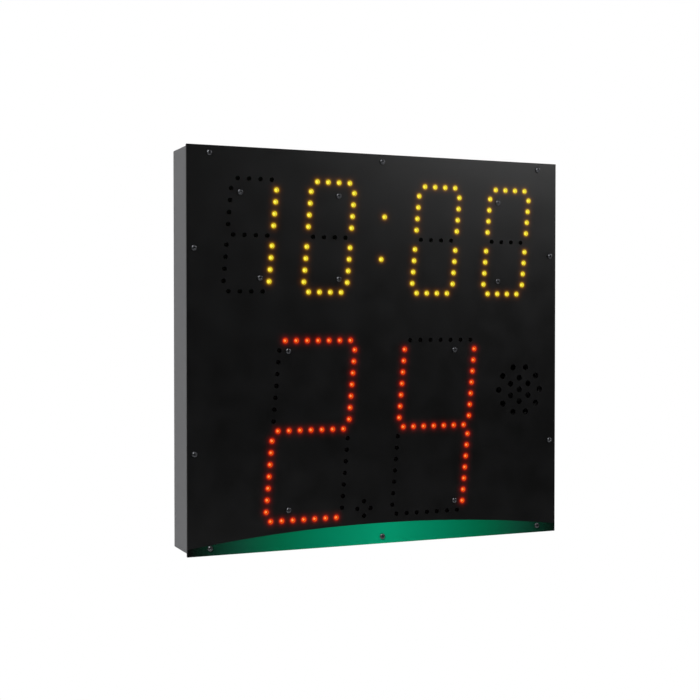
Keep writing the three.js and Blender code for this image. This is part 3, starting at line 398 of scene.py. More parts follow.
# Each part of the painted glow: its strength at the hole, the distance in which it falls to a third, and
# its hue round a yellow lamp and round a red one.
glow_parts = (
    (0.38, 0.6, Vector((1, 0.85, 0.0)), Vector((1.15, 0.08, 0.0))),
    (0.35, 1.08, Vector((1, 0.45, 0.0)), Vector((1.3, 0.01, 0.0))),
    (0.055, 2.6, Vector((1, 0.12, 0.0)), Vector((1.2, 0.0, 0.0))),
)
# Painted glow on the wall of a lit lamp's hole, round a yellow lamp and round a red one.
painted_wall_glow = Vector((1.0, 0.88, 0.05)), Vector((0.90, 0.10, 0.005))
held = panel.data.attributes.new("painted_lamp_glow", "FLOAT_COLOR", "POINT")
for vertex, point in zip(panel.data.vertices, held.data):
    place = vertex.co * millimetres
    light = Vector((0, 0, 0))
    if place.y < panel_low.y + panel_edge / 2:
        for _, number, distance in lit_tree.find_range((place.x, 0, place.z), haze_reach):
            for strength, fall, yellow, red in glow_parts:
                fade = math.exp((lamp_hole - distance) / fall)
                fade -= math.exp((lamp_hole - haze_reach) / fall)
                light += (yellow if number < len(game_lit) else red) * strength * fade
    elif place.y < painted_glow_depth + panel_edge:
        _, number, distance = lit_tree.find((place.x, 0, place.z))
        if distance < lamp_hole + 0.1:
            light = painted_wall_glow[number >= len(game_lit)]
    point.color = [*light, 1]

# Lamps
# Round diodes of 5 mm in cast epoxy: yellow for the game time, red for the shot time. Each has a
# collar at its foot and stands on its lamp board, its domed tip just behind the panel's face.
lamp_radius = 2.5
collar_radius, collar_height = 2.65, 1.0
lamp_tip, lamp_foot = -66.9, -58.3
dome_height, dome_step = 2.3, math.radians(15)
lamp_sides = 20


def turned(profile, sides):
    """A body turned about the Y axis, as points and faces. Each entry of the profile is a radius,
    or a function that gives it for an angle, and a place along Y. A radius of 0 is a point."""
    points, faces, rows = [], [], []
    for radius, y in profile:
        if radius == 0:
            rows.append([len(points)] * sides)
            points.append((0, y, 0))
            continue
        rows.append(list(range(len(points), len(points) + sides)))
        for i in range(sides):
            turn = 2 * math.pi * i / sides
            reach = radius(turn) if callable(radius) else radius
            points.append((reach * math.cos(turn), y, reach * math.sin(turn)))
    for near, far in zip(rows, rows[1:]):
        for i in range(sides):
            after = (i + 1) % sides
            corner = [near[i], far[i], far[after], near[after]]
            faces.append([c for k, c in enumerate(corner) if c not in corner[:k]])
    return points, faces


def moved(shape, x=0, y=0, z=0):
    return [(p[0] + x, p[1] + y, p[2] + z) for p in shape[0]], shape[1]


def joined(shapes):
    """Several shapes as one."""
    points, faces = [], []
    for more_points, more_faces in shapes:
        start = len(points)
        points.extend(more_points)
        faces.extend([start + i for i in face] for face in more_faces)
    return points, faces


lamp_profile = [(0, lamp_tip)]
for i in range(1, 7):
    rise = dome_height * (1 - math.cos(dome_step * i))
    lamp_profile.append((lamp_radius * math.sin(dome_step * i), lamp_tip + rise))
lamp_profile += [(radius, lamp_foot - collar_height) for radius in (lamp_radius, collar_radius)]
lamp_profile += [(collar_radius, lamp_foot), (0, lamp_foot)]
lamp_shape = turned(lamp_profile, lamp_sides)


def lamps(name, places, material):
    """One object of many lamps, each of whose points holds how far out from its middle it lies."""
    shape = joined([moved(lamp_shape, x=x, z=z) for x, z in places])
    lamp = piece(name, shape, material, "clock", "circuit_board")
    out = [math.hypot(x, z) / lamp_radius for x, _, z in lamp_shape[0]]
    held = lamp.data.attributes.new("from_middle", "FLOAT", "POINT")
    held.data.foreach_set("value", out * len(places))


def lit_epoxy(name, dark, light, *stops):
    """Cast epoxy is glossy and smooth, with soft clouds of its diffusing filler. The chip in the
    lamp's foot lights it from inside: brightest where one looks straight down on it, and deeper in
    colour towards the rim."""
    material = finish(name, dark, light, (0.24, 0.32), 1.2, 0.002, ior=1.55)
    tree = material.node_tree
    shader = tree.nodes["Principled BSDF"]
    middle = add(tree, "ShaderNodeAttribute", attribute_name="from_middle").outputs["Fac"]
    glow = add(tree, "ShaderNodeValToRGB", {"Fac": middle}, stops=stops)
    tree.links.new(glow.outputs["Color"], shader.inputs["Emission Color"])
    shader.inputs["Emission Strength"].default_value = 1.0
    return material


def painted_shade_epoxy(name, dark, light):
    """A lamp that is off: smoked epoxy with a matt skin, painted near black and with almost no gloss, as
    painted shade for the shade inside its hole."""
    material = finish(name, dark, light, (0.50, 0.62), 1.2, 0.002, ior=1.55)
    material.node_tree.nodes["Principled BSDF"].inputs["Specular IOR Level"].default_value = 0.02
    return material


yellow_stops = (0.0, "#FFF048"), (0.60, "#FFEC42"), (0.85, "#FFE23C"), (1.0, "#FFDA38")
yellow_lit = lit_epoxy("yellow_epoxy_lit", "#3A2A00", "#4A3602", *yellow_stops)
red_stops = (0.0, "#FFC864"), (0.25, "#FF963C"), (0.60, "#FC5E1C"), (1.0, "#F2460C")
red_lit = lit_epoxy("red_epoxy_lit", "#3A0600", "#480A02", *red_stops)
lamps("game_lamps_lit", game_lit, yellow_lit)
lamps("game_lamps_off", game_unlit, painted_shade_epoxy("unlit_lamp_painted_shade_yellow", "#010100", "#030201"))
lamps("shot_lamps_lit", shot_lit, red_lit)
lamps("shot_lamps_off", shot_unlit, painted_shade_epoxy("unlit_lamp_painted_shade_red", "#020101", "#040202"))

# Screws
# Twenty M4 button-head screws of blackened steel with a hexagon socket: ten hold the panel to the
# case's flange, and ten hold the lamp boards' posts to the panel.
screw_radius, screw_head, screw_head_height = 2.0, 3.8, 2.2
socket_flats, socket_depth, socket_cone = 2.8, 1.6, 0.35
thread_pitch, thread_depth, thread_steps = 0.7, 0.25, 4
under_head = panel_low.y - 0.3
screw_sides, crown_steps = 48, 7
screw_turn = math.radians(37)


def hexagon(flats):
    """Radius of a hexagon of that width across its flats, for an angle."""
    sixth = math.pi / 3
    return lambda turn: flats / 2 / math.cos((turn + sixth / 2) % sixth - sixth / 2)


def thread(share):
    """Radius of the screw's thread, that far through its pitch, for an angle."""
    return lambda turn: screw_radius - thread_depth * abs(((turn / (2 * math.pi) + share) % 1) * 2 - 1)


def socket_screw(length):
    """A button-head screw along Y whose head sits in front of y = 0."""
    top, flat_top = -screw_head_height, socket_flats / 2 + 0.75
    floor = top + socket_depth
    profile = [(0, floor + socket_cone), (hexagon(socket_flats), floor)]
    profile += [(hexagon(socket_flats), top + 0.12), (hexagon(socket_flats + 0.25), top)]
    for i in range(crown_steps + 1):
        turn = math.pi / 2 * i / crown_steps
        radius = flat_top + (screw_head - flat_top) * math.sin(turn)
        profile.append((radius, top + (screw_head_height - 0.3) * (1 - math.cos(turn))))
    profile += [(screw_head, -0.1), (screw_head - 0.1, 0), (screw_radius, 0)]
    steps = int(length / thread_pitch * thread_steps)
    profile += [(thread(i / thread_steps), length * i / steps) for i in range(1, steps)]
    profile += [(screw_radius - thread_depth, length - 0.2), (screw_radius * 0.7, length), (0, length)]
    return turned(profile, screw_sides)


# Blackened steel: a thin oxide over a turned head, dark grey, with the sheen of oiled metal.
oxide = finish("black_oxide_steel", "#4A4B4E", "#606164", (0.30, 0.42), 0.5, 0.004, metallic=1.0)
for kind, places, length in (("panel_screw", edge_screws, 11.0), ("board_screw", board_screws, 7.5)):
    first = None
    for i, (x, z) in enumerate(places):
        name, node = f"{kind}_m4_{i + 1}", f"{kind}_{i + 1}"
        if first is None:
            screw = first = piece(name, socket_screw(length), oxide, "clock", "dark_steel", node)
        else:
            screw = fitted(bpy.data.objects.new(name, first.data), "clock", "dark_steel", node)
        # Each was driven home at its own angle.
        place = Matrix.Translation(Vector((x, under_head, z)) / millimetres)
        screw.matrix_world = place @ Matrix.Rotation(screw_turn * i, 4, "Y")

# Rear case
# A tray of 1.5 mm sheet steel, folded, welded at the corners and powder coated grey. A flange round
# its mouth takes the panel's screws, and four keyholes in its rear wall hang it on the wall.
case_low, case_high = corners("rear_case")
sheet = 1.5
case_bend, case_corner, case_edge = 1.5, 1.8, 0.2  # the folds at the rear, the corners, the cut edges
flange_mouth, mouth_corner = (522, 502), 2
keyhole_head, keyhole_neck, keyhole_rise = 6, 3, 10
keyhole_steps, slot_steps = 32, 12
keyholes = [(x, z) for x in (-215.04, 215.04) for z in (-194.4, 194.4)]
supply_screws = [(-173.84, -150.12), (-65.84, -150.12)]
fitting_y, inlet_x, data_x = -32.1, -150.08, 39.76
inlet_opening, data_opening, opening_corner = (47, 29.2), (18.6, 16.6), 0.8
inlet_screw_x, data_screw_x, data_screw_y = 28.2, 11.1, 8.6  # of their screws from the fittings' middles
small_hole, small_hole_sides = 1.8, 20
overrun = 2  # how far a cutter runs past the face it cuts


def plain(shape):
    """A bare object for the boolean steps."""
    mesh = bpy.data.meshes.new("blank")
    mesh.from_pydata([Vector(point) for point in shape[0]], [], shape[1])
    blank = bpy.data.objects.new("blank", mesh)
    bpy.context.scene.collection.objects.link(blank)
    return blank


def cut(shape, cutters, operation="DIFFERENCE"):
    """The shape less the cutters, or joined with them in one skin."""
    blanks = [plain(part) for part in (shape, *cutters)]
    for cutter in blanks[1:]:
        step = blanks[0].modifiers.new("cut", "BOOLEAN")
        step.object = cutter
        step.operation = operation
        step.solver = "MANIFOLD"
    bpy.context.view_layer.update()
    whole = blanks[0].evaluated_get(bpy.context.evaluated_depsgraph_get())
    mesh = whole.to_mesh()
    points = [tuple(vertex.co) for vertex in mesh.vertices]
    faces = [list(face.vertices) for face in mesh.polygons]
    whole.to_mesh_clear()
    for blank in blanks:
        mesh = blank.data
        bpy.data.objects.remove(blank)
        bpy.data.meshes.remove(mesh)
    return points, faces


def set_by(shape, matrix):
    return [tuple(matrix @ Vector(point)) for point in shape[0]], shape[1]


# A prism turned by this is drawn in X and Y, and its levels run downwards from the highest.
upright = Matrix.Rotation(-math.pi / 2, 4, "X")


def straight(outline, low, high):
    """A plain prism between two places along Y, as a cutter."""
    return prism(outline, [(low, 0), (high, 0)])


def centred(middle_x, middle_z, width, height, corner=0.0):
    """A rectangle about its middle."""
    half_width, half_height = width / 2, height / 2
    left, low = middle_x - half_width, middle_z - half_height
    return rectangle(left, low, middle_x + half_width, middle_z + half_height, corner)


def arc(x, z, radius, start, sweep, steps):
    turns = [start + sweep * i / steps for i in range(steps + 1)]
    return [Vector((x + radius * math.cos(turn), z + radius * math.sin(turn))) for turn in turns]


def keyhole(x, z):
    """A round hole for a screw's head, and above it a slot with a round end for the screw's neck."""
    meet = math.asin(keyhole_neck / keyhole_head)
    head = arc(x, z, keyhole_head, math.pi / 2 + meet, 2 * math.pi - 2 * meet, keyhole_steps)
    return head + arc(x, z + keyhole_rise - keyhole_neck, keyhole_neck, 0, math.pi, slot_steps)


case_levels = [(case_low.y, case_edge), (case_low.y + case_edge, 0)]
for degrees in range(0, 91, 15):
    turn = math.radians(degrees)
    case_levels.append((case_bend * math.sin(turn) - case_bend, case_bend * (1 - math.cos(turn))))
case_shell = prism(rectangle(case_low.x, case_low.z, case_high.x, case_high.z, case_corner), case_levels)
inner_low, inner_high = case_low + Vector((sheet, sheet, sheet)), case_high - Vector((sheet, sheet, sheet))
hollow_outline = rectangle(inner_low.x, inner_low.z, inner_high.x, inner_high.z)
hollow = straight(hollow_outline, inner_low.y, -sheet)
through_flange = case_low.y - overrun, inner_low.y + overrun
mouth = straight(centred(0, 0, *flange_mouth, mouth_corner), *through_flange)
rear_holes = [keyhole(x, z) for x, z in keyholes]
rear_holes += [circle(x, z, screw_hole, hole_sides) for x, z in supply_screws]
drills = [straight(hole, -sheet - overrun, overrun) for hole in rear_holes]
drills += [straight(circle(x, z, screw_hole, hole_sides), *through_flange) for x, z in edge_screws]
floor_holes = [
    centred(inlet_x, 0, *inlet_opening, opening_corner),
    centred(data_x, 0, *data_opening, opening_corner),
]
for side in (-1, 1):
    floor_holes.append(circle(inlet_x + side * inlet_screw_x, 0, small_hole, small_hole_sides))
    data_hole = data_x + side * data_screw_x, side * data_screw_y
    floor_holes.append(circle(*data_hole, small_hole, small_hole_sides))
floor_top = -inner_low.z - overrun
for outline in floor_holes:
    drill = set_by(straight(outline, floor_top, floor_top + sheet + 2 * overrun), upright)
    drills.append(moved(drill, y=fitting_y))
case_shape = cut(case_shell, [hollow, mouth, joined(drills)])
# Grey powder coat, semi-matt, with a slightly coarser peel than the panel's.
grey_coat = finish("grey_powder_coat", "#606062", "#68686A", (0.42, 0.52), 1.1, 0.015, ior=1.5)
piece("case_tray", case_shape, grey_coat, "clock", "grey_paint", "rear_case")

# Lamp boards
# Two glass-fibre boards under a green solder mask, one for each row of digits. They hang on
# zinc-plated hexagon posts behind the panel, and every lamp is soldered through its board.
board_front, board_back = lamp_foot, lamp_foot + 1.6
board_edge, board_corner = 0.15, 2.0
post_front, post_flats, post_bore, post_edge = -64.2, 6.2, 2.1, 0.35
lamp_leg = 1.27  # of each of a lamp's two legs from its middle
solder_radius, solder_height = 0.9, 1.0
ribbon_x, ribbon_plug = 12.5, (30, 9)
plug_depth, clamp_height, clamp_size, key_size = 8, 2, (27.2, 6.6), (4.4, 1.2)

# Solder mask is glossy green lacquer, lighter where copper runs beneath it in 2.54 mm lanes.
mask = finish("green_solder_mask", "#143021", "#1B3D2A", (0.28, 0.40), 0.6, 0.004, ior=1.5)
tree, shader, along = opened(mask)
flat = add(tree, "ShaderNodeCombineXYZ", {"X": along["X"], "Y": along["Z"]}).outputs[0]
black, white = (0, 0, 0, 1), (1, 1, 1, 1)
lanes = {"Vector": flat, "Color1": black, "Color2": black, "Mortar": white, "Scale": 1.0}
for name, size in (("Mortar Size", 0.3), ("Brick Width", 31.8), ("Row Height", 2.54)):
    lanes[name] = size / millimetres
laid_over(tree, shader, add(tree, "ShaderNodeTexBrick", lanes).outputs["Fac"], linear("#2C5A3C"))
# Bright zinc plate: cool grey metal, clouded by its bath.
zinc = finish("zinc_plated_steel", "#A9ACAF", "#C3C5C6", (0.26, 0.40), 0.8, 0.003, metallic=1.0)
# Solder: silvery, and a little uneven where it froze.
solder = finish("tin_solder", "#B4B4B2", "#D0D0CC", (0.22, 0.38), 0.4, 0.01, metallic=1.0)
# Black nylon, moulded in a spark-eroded tool: satin, with a fine even grain.
nylon = finish("moulded_black_nylon", "#18181A", "#202022", (0.42, 0.52), 0.35, 0.012, ior=1.53)


def lamp_board(name, node, places, screws):
    low, high = corners(node)
    outline = rectangle(low.x, low.z, high.x, high.z, board_corner)
    holes = [circle(x, z, post_bore, 16) for x, z in screws]
    plate = prism(outline, slab(board_front, board_back, board_edge), holes)
    piece(name + "_board", plate, mask, "clock", "circuit_board", node)
    hexagonal = circle(0, 0, post_flats / math.sqrt(3), 6)
    post = prism(hexagonal, slab(post_front, board_front, post_edge), [circle(0, 0, post_bore, 20)])
    posts = joined([moved(post, x=x, z=z) for x, z in screws])
    piece(name + "_posts", posts, zinc, "clock", "circuit_board")
    shares = ((0, 0), (1, 0), (0.55, 0.45), (0.3, 1), (0, 1))
    dot = turned([(solder_radius * r, board_back + solder_height * y) for r, y in shares], 8)
    dots = [moved(dot, x=x + side * lamp_leg, z=z) for x, z in places for side in (-1, 1)]
    piece(name + "_solder", joined(dots), solder, "clock", "circuit_board")


def ribbon_socket(name, low_y, low_z):
    """A latched socket for the ribbon: a shroud with a raised bar that clamps the lead."""
    high_y, high_z = low_y + plug_depth, low_z + ribbon_plug[1]
    clamp_low, middle_z = high_y - clamp_height, low_z + ribbon_plug[1] / 2
    body = prism(centred(ribbon_x, middle_z, *ribbon_plug, 0.6), slab(low_y, clamp_low, 0.3))
    bar = prism(centred(ribbon_x, middle_z, *clamp_size, 0.6), slab(clamp_low, high_y, 0.4))
    key_outline = centred(ribbon_x, high_z - key_size[1] / 2, *key_size)
    key = prism(key_outline, slab(clamp_low, high_y - 0.6, 0.2))
    piece(name, joined([body, bar, key]), nylon, "clock", "circuit_board")


lamp_board("game", "game_time_board", game_lit + game_unlit, game_screws)
lamp_board("shot", "shot_time_board", shot_lit + shot_unlit, shot_screws)
ribbon_socket("game_ribbon_socket", board_back, 78.8)

# Loudspeaker
# A 100 mm chassis loudspeaker behind the round grille: a pressed steel basket, a black paper cone
# with its dust cap on a rubber roll, and a ferrite magnet between two steel plates.
speaker_at = (219.2, -62.5, -59.8)
speaker_sides = 64
rim_radius, rim_inner, rim_sheet, rim_edge = 50, 43, 1.5, 0.4
neck_radius, neck_depth = 45, 4.5
basket_radius, basket_depth, basket_sheet = 27, 22, 1
tag_left, tag_size, tag_depth, tag_sheet = 40, (9, 12), 17.6, 1.5
cone_radius, cone_edge, cone_depth = 36, 1.9, 12
coil_radius, coil_length, coil_paper = 12, 17, 0.6
cap_rise, cap_steps, cone_steps = 5, 10, 36
groove_depth, groove_share = 0.35, 0.25
paper_thickness = 0.9
bore_radius = coil_radius + 0.6  # of the basket, the magnet and the front plate
magnet_radius, magnet_front, magnet_back, magnet_edge = 33, 23.3, 38.3, 0.8
plate_radius, plate_sheet, plate_edge = 31, 3, 0.4
pole_radius, pole_front, pole_edge = 10.3, 20.5, 0.3
roll_inner, roll_outer, roll_rise, roll_skin = 36.3, 42.7, 1.1, 0.5


def from_speaker(profile):
    """Turned about the loudspeaker's axis, from radii and depths behind the rim's front."""
    return moved(turned(profile, speaker_sides), *speaker_at)


# Pressed steel, dipped black: smooth, with a dull sheen.
dipped = finish("black_dipped_steel", "#0C0C0D", "#151516", (0.48, 0.60), 0.9, 0.008, ior=1.5)
basket = [(rim_inner, 0), (rim_radius - rim_edge, 0), (rim_radius, rim_edge), (rim_radius, rim_sheet)]
basket += [(neck_radius, rim_sheet), (neck_radius, neck_depth)]
basket += [(radius, basket_depth + basket_sheet) for radius in (basket_radius + basket_sheet, bore_radius)]
basket += [(radius, basket_depth) for radius in (bore_radius, basket_radius)]
basket = from_speaker([*basket, (rim_inner, neck_depth), basket[0]])
piece("speaker_basket", basket, dipped, "clock", "dark_steel", "speaker_frame", sharp=40)
# Phenolic board: hard brown paper laminate.
phenolic = finish("phenolic_laminate", "#5A3A20", "#6E4A2C", (0.40, 0.55), 0.5, 0.01, ior=1.6)
tag_outline = centred(speaker_at[0] - tag_left + tag_size[0] / 2, speaker_at[2], *tag_size, 0.8)
tag_front = speaker_at[1] + tag_depth
tag = prism(tag_outline, slab(tag_front, tag_front + tag_sheet, 0.2))
piece("speaker_tag", tag, phenolic, "clock", "dark_steel")

# Ferrite is a dark, dry ceramic, ground on its faces.
ceramic = finish("ground_ferrite", "#29292B", "#343436", (0.55, 0.72), 0.5, 0.02, ior=2.0)
ferrite_front, ferrite_back = magnet_front + plate_sheet, magnet_back - plate_sheet
half = [(bore_radius, ferrite_front), (magnet_radius - magnet_edge, ferrite_front)]
half += [(magnet_radius, ferrite_front + magnet_edge)]
ring = half + [(radius, ferrite_front + ferrite_back - depth) for radius, depth in half[::-1]]
ring = from_speaker([*ring, ring[0]])
piece("magnet_ring", ring, ceramic, "clock", "ferrite", "speaker_magnet")
front_plate = [(bore_radius, magnet_front), (plate_radius - plate_edge, magnet_front)]
front_plate += [(plate_radius, magnet_front + plate_edge), (plate_radius, ferrite_front)]
front_plate += [(bore_radius, ferrite_front), (bore_radius, magnet_front)]
pole_plate = [(0, pole_front), (pole_radius - pole_edge, pole_front)]
pole_plate += [(pole_radius, pole_front + pole_edge), (pole_radius, ferrite_back)]
pole_plate += [(plate_radius, ferrite_back), (plate_radius, magnet_back - plate_edge)]
pole_plate += [(plate_radius - plate_edge, magnet_back), (0, magnet_back)]
plates = joined([from_speaker(front_plate), from_speaker(pole_plate)])
piece("magnet_plates", plates, zinc, "clock", "ferrite")

# Pressed paper pulp, black: soft, matt and finely fibrous, with three stiffening grooves.
fibres = (1, 1, 3)
pulp = finish("black_paper_pulp", "#090909", "#111111", (0.85, 0.95), 0.5, 0.05, ior=1.45, stretch=fibres)
apex = cone_edge + cone_depth
cone_front = []
for i in range(cone_steps + 1):
    share = i / cone_steps
    depth = apex + (cone_edge - apex) * share
    if 0.1 < share < 0.95:
        depth += groove_depth * max(0.0, math.cos(2 * math.pi * share / groove_share)) ** 6
    cone_front.append((coil_radius + (cone_radius - coil_radius) * share, depth))
cap = []
for i in range(cap_steps):
    share = i / cap_steps
    cap.append((coil_radius * share, apex - cap_rise * (1 - share**2)))
cone_profile = cap + cone_front + [(radius, depth + paper_thickness) for radius, depth in cone_front[::-1]]
cone_profile += [(radius, apex + coil_length) for radius in (coil_radius, coil_radius - coil_paper)]
cone_profile += [(coil_radius - coil_paper, apex + coil_paper)]
under_cap = [(radius, depth + coil_paper) for radius, depth in cap[::-1]]
cone_profile += [place for place in under_cap if place[0] < coil_radius - coil_paper]
cone = from_speaker(cone_profile)
piece("paper_cone", cone, pulp, "cone", "cone_paper", "speaker_cone", sharp=40)
# Butyl rubber: black, soft and slightly shiny.
rubber = finish("butyl_rubber", "#0B0B0C", "#121213", (0.55, 0.68), 0.4, 0.01, ior=1.52)
roll_middle, roll_half = (roll_inner + roll_outer) / 2, (roll_outer - roll_inner) / 2
over = []
for i in range(13):
    turn = math.pi * i / 12
    over.append((roll_middle - roll_half * math.cos(turn), cone_edge - roll_rise * math.sin(turn)))
under = [(radius, depth + roll_skin) for radius, depth in over[::-1]]
roll = from_speaker([*over, *under, over[0]])
piece("rubber_roll", roll, rubber, "clock", "foam", "speaker_surround", sharp=40)

# Loudspeaker bracket: one folded strip of zinc-plated sheet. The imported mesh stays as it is, and
# modifiers join its split corners and round its folds and edges off.
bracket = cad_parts["speaker_bracket"]
bracket.data.materials.clear()
bracket.data.materials.append(zinc)
bracket_edge = 0.3
weld = bracket.modifiers.new("weld", "WELD")
weld.merge_threshold = 1e-6
flat = bracket.modifiers.new("flat", "DECIMATE")
flat.decimate_type = "DISSOLVE"
flat.angle_limit = math.radians(2)
round_off = bracket.modifiers.new("round_off", "BEVEL")
round_off.width = bracket_edge / millimetres
round_off.segments = 2
round_off.limit_method = "ANGLE"
round_off.angle_limit = math.radians(25)
bracket.modifiers.new("smooth", "WEIGHTED_NORMAL")

# Mains inlet
# One module in the bottom wall, moulded in black nylon: the inlet for a mains lead with its three
# nickel-plated blades, a fuse drawer and a rocker switch. Two screws hold its lip.
lip_seat = -266.9  # where the lips of both fittings begin, below the bottom wall
inlet_face, module_top = -269.4, -239.6
lip_size, lip_corner, lip_edge = (66.4, 31.0), 3.0, 0.5
module_size, module_corner, module_edge = (46.4, 28.6), 0.6, 0.4
recess_x, recess_floor = inlet_x + 12.9, -254.4
recess_half, recess_reach, recess_chamfer = 12.3, 8.3, 4
drawer_x, drawer_well, drawer_depth = inlet_x - 1.5, (7.4, 24.0), 17.3
rocker_x, rocker_well, rocker_depth, pivot_z = -164.48, (13.6, 20.6), 13, -265.2
pin_spacing = 7  # of the live and the neutral blade from the middle, and of the tabs behind
blade_size, blade_length, blade_tip = (4, 2), 12, (1.2, 0.7)
tab_size, tab_length = (6.3, 0.8), 8


def standing(outline, levels, holes=()):
    """A prism drawn in X and Y. Its levels are heights, from the highest to the lowest."""
    turned_down = [(-height, inset) for height, inset in levels]
    return set_by(prism(outline, turned_down, holes), upright)


def well(outline, top, face):
    """A cutter that opens a fitting's face up to a height."""
    return standing(outline, [(top, 0), (face - overrun, 0)])


def fitting_lip(outline, face, edge, screws):
    """The lip of a fitting, which bears on the bottom wall, with a hole for each of its screws."""
    holes = [circle(x, y, small_hole, small_hole_sides) for x, y in screws]
    levels = [(lip_seat, 0), (face + edge, 0), (face + edge * 0.3, edge * 0.3), (face, edge)]
    return standing(outline, levels, holes)


inlet_screws = [(inlet_x + side * inlet_screw_x, fitting_y) for side in (-1, 1)]
lip_outline = centred(inlet_x, fitting_y, *lip_size, lip_corner)
lip = fitting_lip(lip_outline, inlet_face, lip_edge, inlet_screws)
module_levels = [(module_top, module_edge), (module_top - module_edge, 0), (inlet_face + 1, 0)]
body = standing(centred(inlet_x, fitting_y, *module_size, module_corner), module_levels)
recess_right = recess_x + recess_reach
recess_outline = centred(recess_x, fitting_y, 2 * recess_reach, 2 * recess_half)
recess_outline[1:3] = [
    Vector((recess_right - recess_chamfer, fitting_y - recess_half)),
    Vector((recess_right, fitting_y - recess_half + recess_chamfer)),
    Vector((recess_right, fitting_y + recess_half - recess_chamfer)),
    Vector((recess_right - recess_chamfer, fitting_y + recess_half)),
]
wells = [
    well(recess_outline, recess_floor, inlet_face),
    well(centred(rocker_x, fitting_y, *rocker_well), inlet_face + rocker_depth, inlet_face),
    well(centred(drawer_x, fitting_y, *drawer_well), inlet_face + drawer_depth, inlet_face),
]
module = cut(cut(lip, [body], "UNION"), [joined(wells)])
piece("inlet_module", module, nylon, "clock", "black_plastic", "mains_inlet")
# Nickel plate on brass: warm bright metal, rubbed along the blade.
nickel = finish("nickel_plated_brass", "#B9B4A8", "#D2CDBF", (0.16, 0.28), 0.6, 0.003, metallic=1.0)
blade_end = recess_floor - blade_length
blade_levels = [(recess_floor, 0), (blade_end + blade_tip[0], 0), (blade_end, blade_tip[1])]
tab_levels = [(module_top + tab_length, 0.2), (module_top + tab_length - 0.6, 0), (module_top, 0)]
blades = []
# The earth blade stands in the middle, apart from the line of the other two.
for x, y in ((2, 0), (-2, -pin_spacing), (-2, pin_spacing)):
    blades.append(standing(centred(recess_x + x, fitting_y + y, *blade_size, 0.3), blade_levels))
for x, y in ((recess_x, 0), (recess_x, -pin_spacing), (rocker_x, pin_spacing)):
    blades.append(standing(centred(x, fitting_y + y, *tab_size), tab_levels))
piece("inlet_blades", joined(blades), nickel, "clock", "black_plastic")

# Power rocker: its two faces meet in a shallow V. It is pressed in on the side marked I.
rocker_tilt = math.radians(10)
rocker_reach, rocker_width, rocker_height, rocker_steps = 10, 13, 4.2, 8
pin_radius, pin_length = 1.2, 15.4
mark_out, mark_reach, mark_half, mark_levels = 4.6, 1.9, 0.45, slab(-0.1, 0.02, 0.03)
rocker_corner = rocker_tilt + math.asin(rocker_height / rocker_reach)
rocker_waist = -rocker_height / math.cos(rocker_tilt)
side_points = arc(0, 0, rocker_reach, -rocker_corner, rocker_corner, rocker_steps)
side_points.append(Vector((6, 3)))
rocker_outline = [Vector((0, rocker_waist)), *side_points]
rocker_outline += [Vector((-p.x, p.y)) for p in side_points[::-1]]
# A prism turned by this is drawn in Y and Z, and its levels run from the right to the left.
sideways = Matrix.Rotation(math.pi / 2, 4, "Z")
tilted = Matrix.Translation((rocker_x, fitting_y, pivot_z)) @ Matrix.Rotation(rocker_tilt, 4, "X")
key = prism(rocker_outline, slab(-rocker_width / 2, rocker_width / 2, 0.35))
pin = prism(circle(0, 0, pin_radius, 16), slab(-pin_length / 2, pin_length / 2, 0.2))
rocker_shape = set_by(joined([key, pin]), tilted @ sideways)
piece("power_rocker_key", rocker_shape, nylon, "rocker", "black_plastic", "power_rocker", sharp=25)
# Pad-printed marks: a bar for on and a ring for off, in white ink.
white_ink = finish("white_pad_print", "#D8D8D4", "#E6E6E2", (0.50, 0.60), 0.4, 0.004, ior=1.48)
bar = prism(rectangle(-mark_half, -mark_reach, mark_half, mark_reach, 0.2), mark_levels)
ring = prism(circle(0, 0, mark_reach, 32), mark_levels, [circle(0, 0, 1.2, 32)])
marks = []
for shape, side in ((bar, 1), (ring, -1)):
    at = Matrix.Translation((0, side * mark_out, rocker_waist - mark_out * math.tan(rocker_tilt)))
    # The printed side of a mark looks down, out of the rocker's face.
    face = Matrix.Rotation(math.pi / 2 - side * rocker_tilt, 4, "X")
    marks.append(set_by(shape, tilted @ at @ face))
piece("rocker_marks", joined(marks), white_ink, "rocker", "black_plastic")

# Fuse drawer and fuse: the drawer slides down out of the module with a glass fuse in its pocket.
drawer_top, drawer_size = inlet_face + 17, (6.8, 23.4)
pocket_left, pocket_right, pocket_half, pocket_top, pocket_floor = -2.6, 5, 10.3, -253.2, -258.8
grip_size, grip_depth = (5.2, 10.3), 0.8
drawer_levels = [(drawer_top, 0.2), (drawer_top - 0.2, 0), (inlet_face + 0.3, 0), (inlet_face, 0.3)]
drawer_block = standing(centred(drawer_x, fitting_y, *drawer_size, 0.5), drawer_levels)
pocket_low, pocket_high = fitting_y - pocket_half, fitting_y + pocket_half
pocket_outline = rectangle(drawer_x + pocket_left, pocket_low, drawer_x + pocket_right, pocket_high)
pocket = standing(pocket_outline, [(pocket_top, 0), (pocket_floor, 0)])
grip_levels = [(inlet_face + grip_depth, 0.3), (inlet_face, 0), (inlet_face - overrun, 0)]
grip = standing(centred(drawer_x, fitting_y, *grip_size, 0.6), grip_levels)
drawer = cut(drawer_block, [pocket, grip])
piece("fuse_drawer_tray", drawer, nylon, "drawer", "black_plastic", "fuse_drawer")
fuse_at, fuse_sides = (-151.38, fitting_y, -256.0), 32
tube_outer, tube_inner, tube_half = 2.2, 1.7, 8
wire_radius, wire_half = 0.12, 9.4


def along_fuse(profile):
    return moved(turned(profile, fuse_sides), *fuse_at)


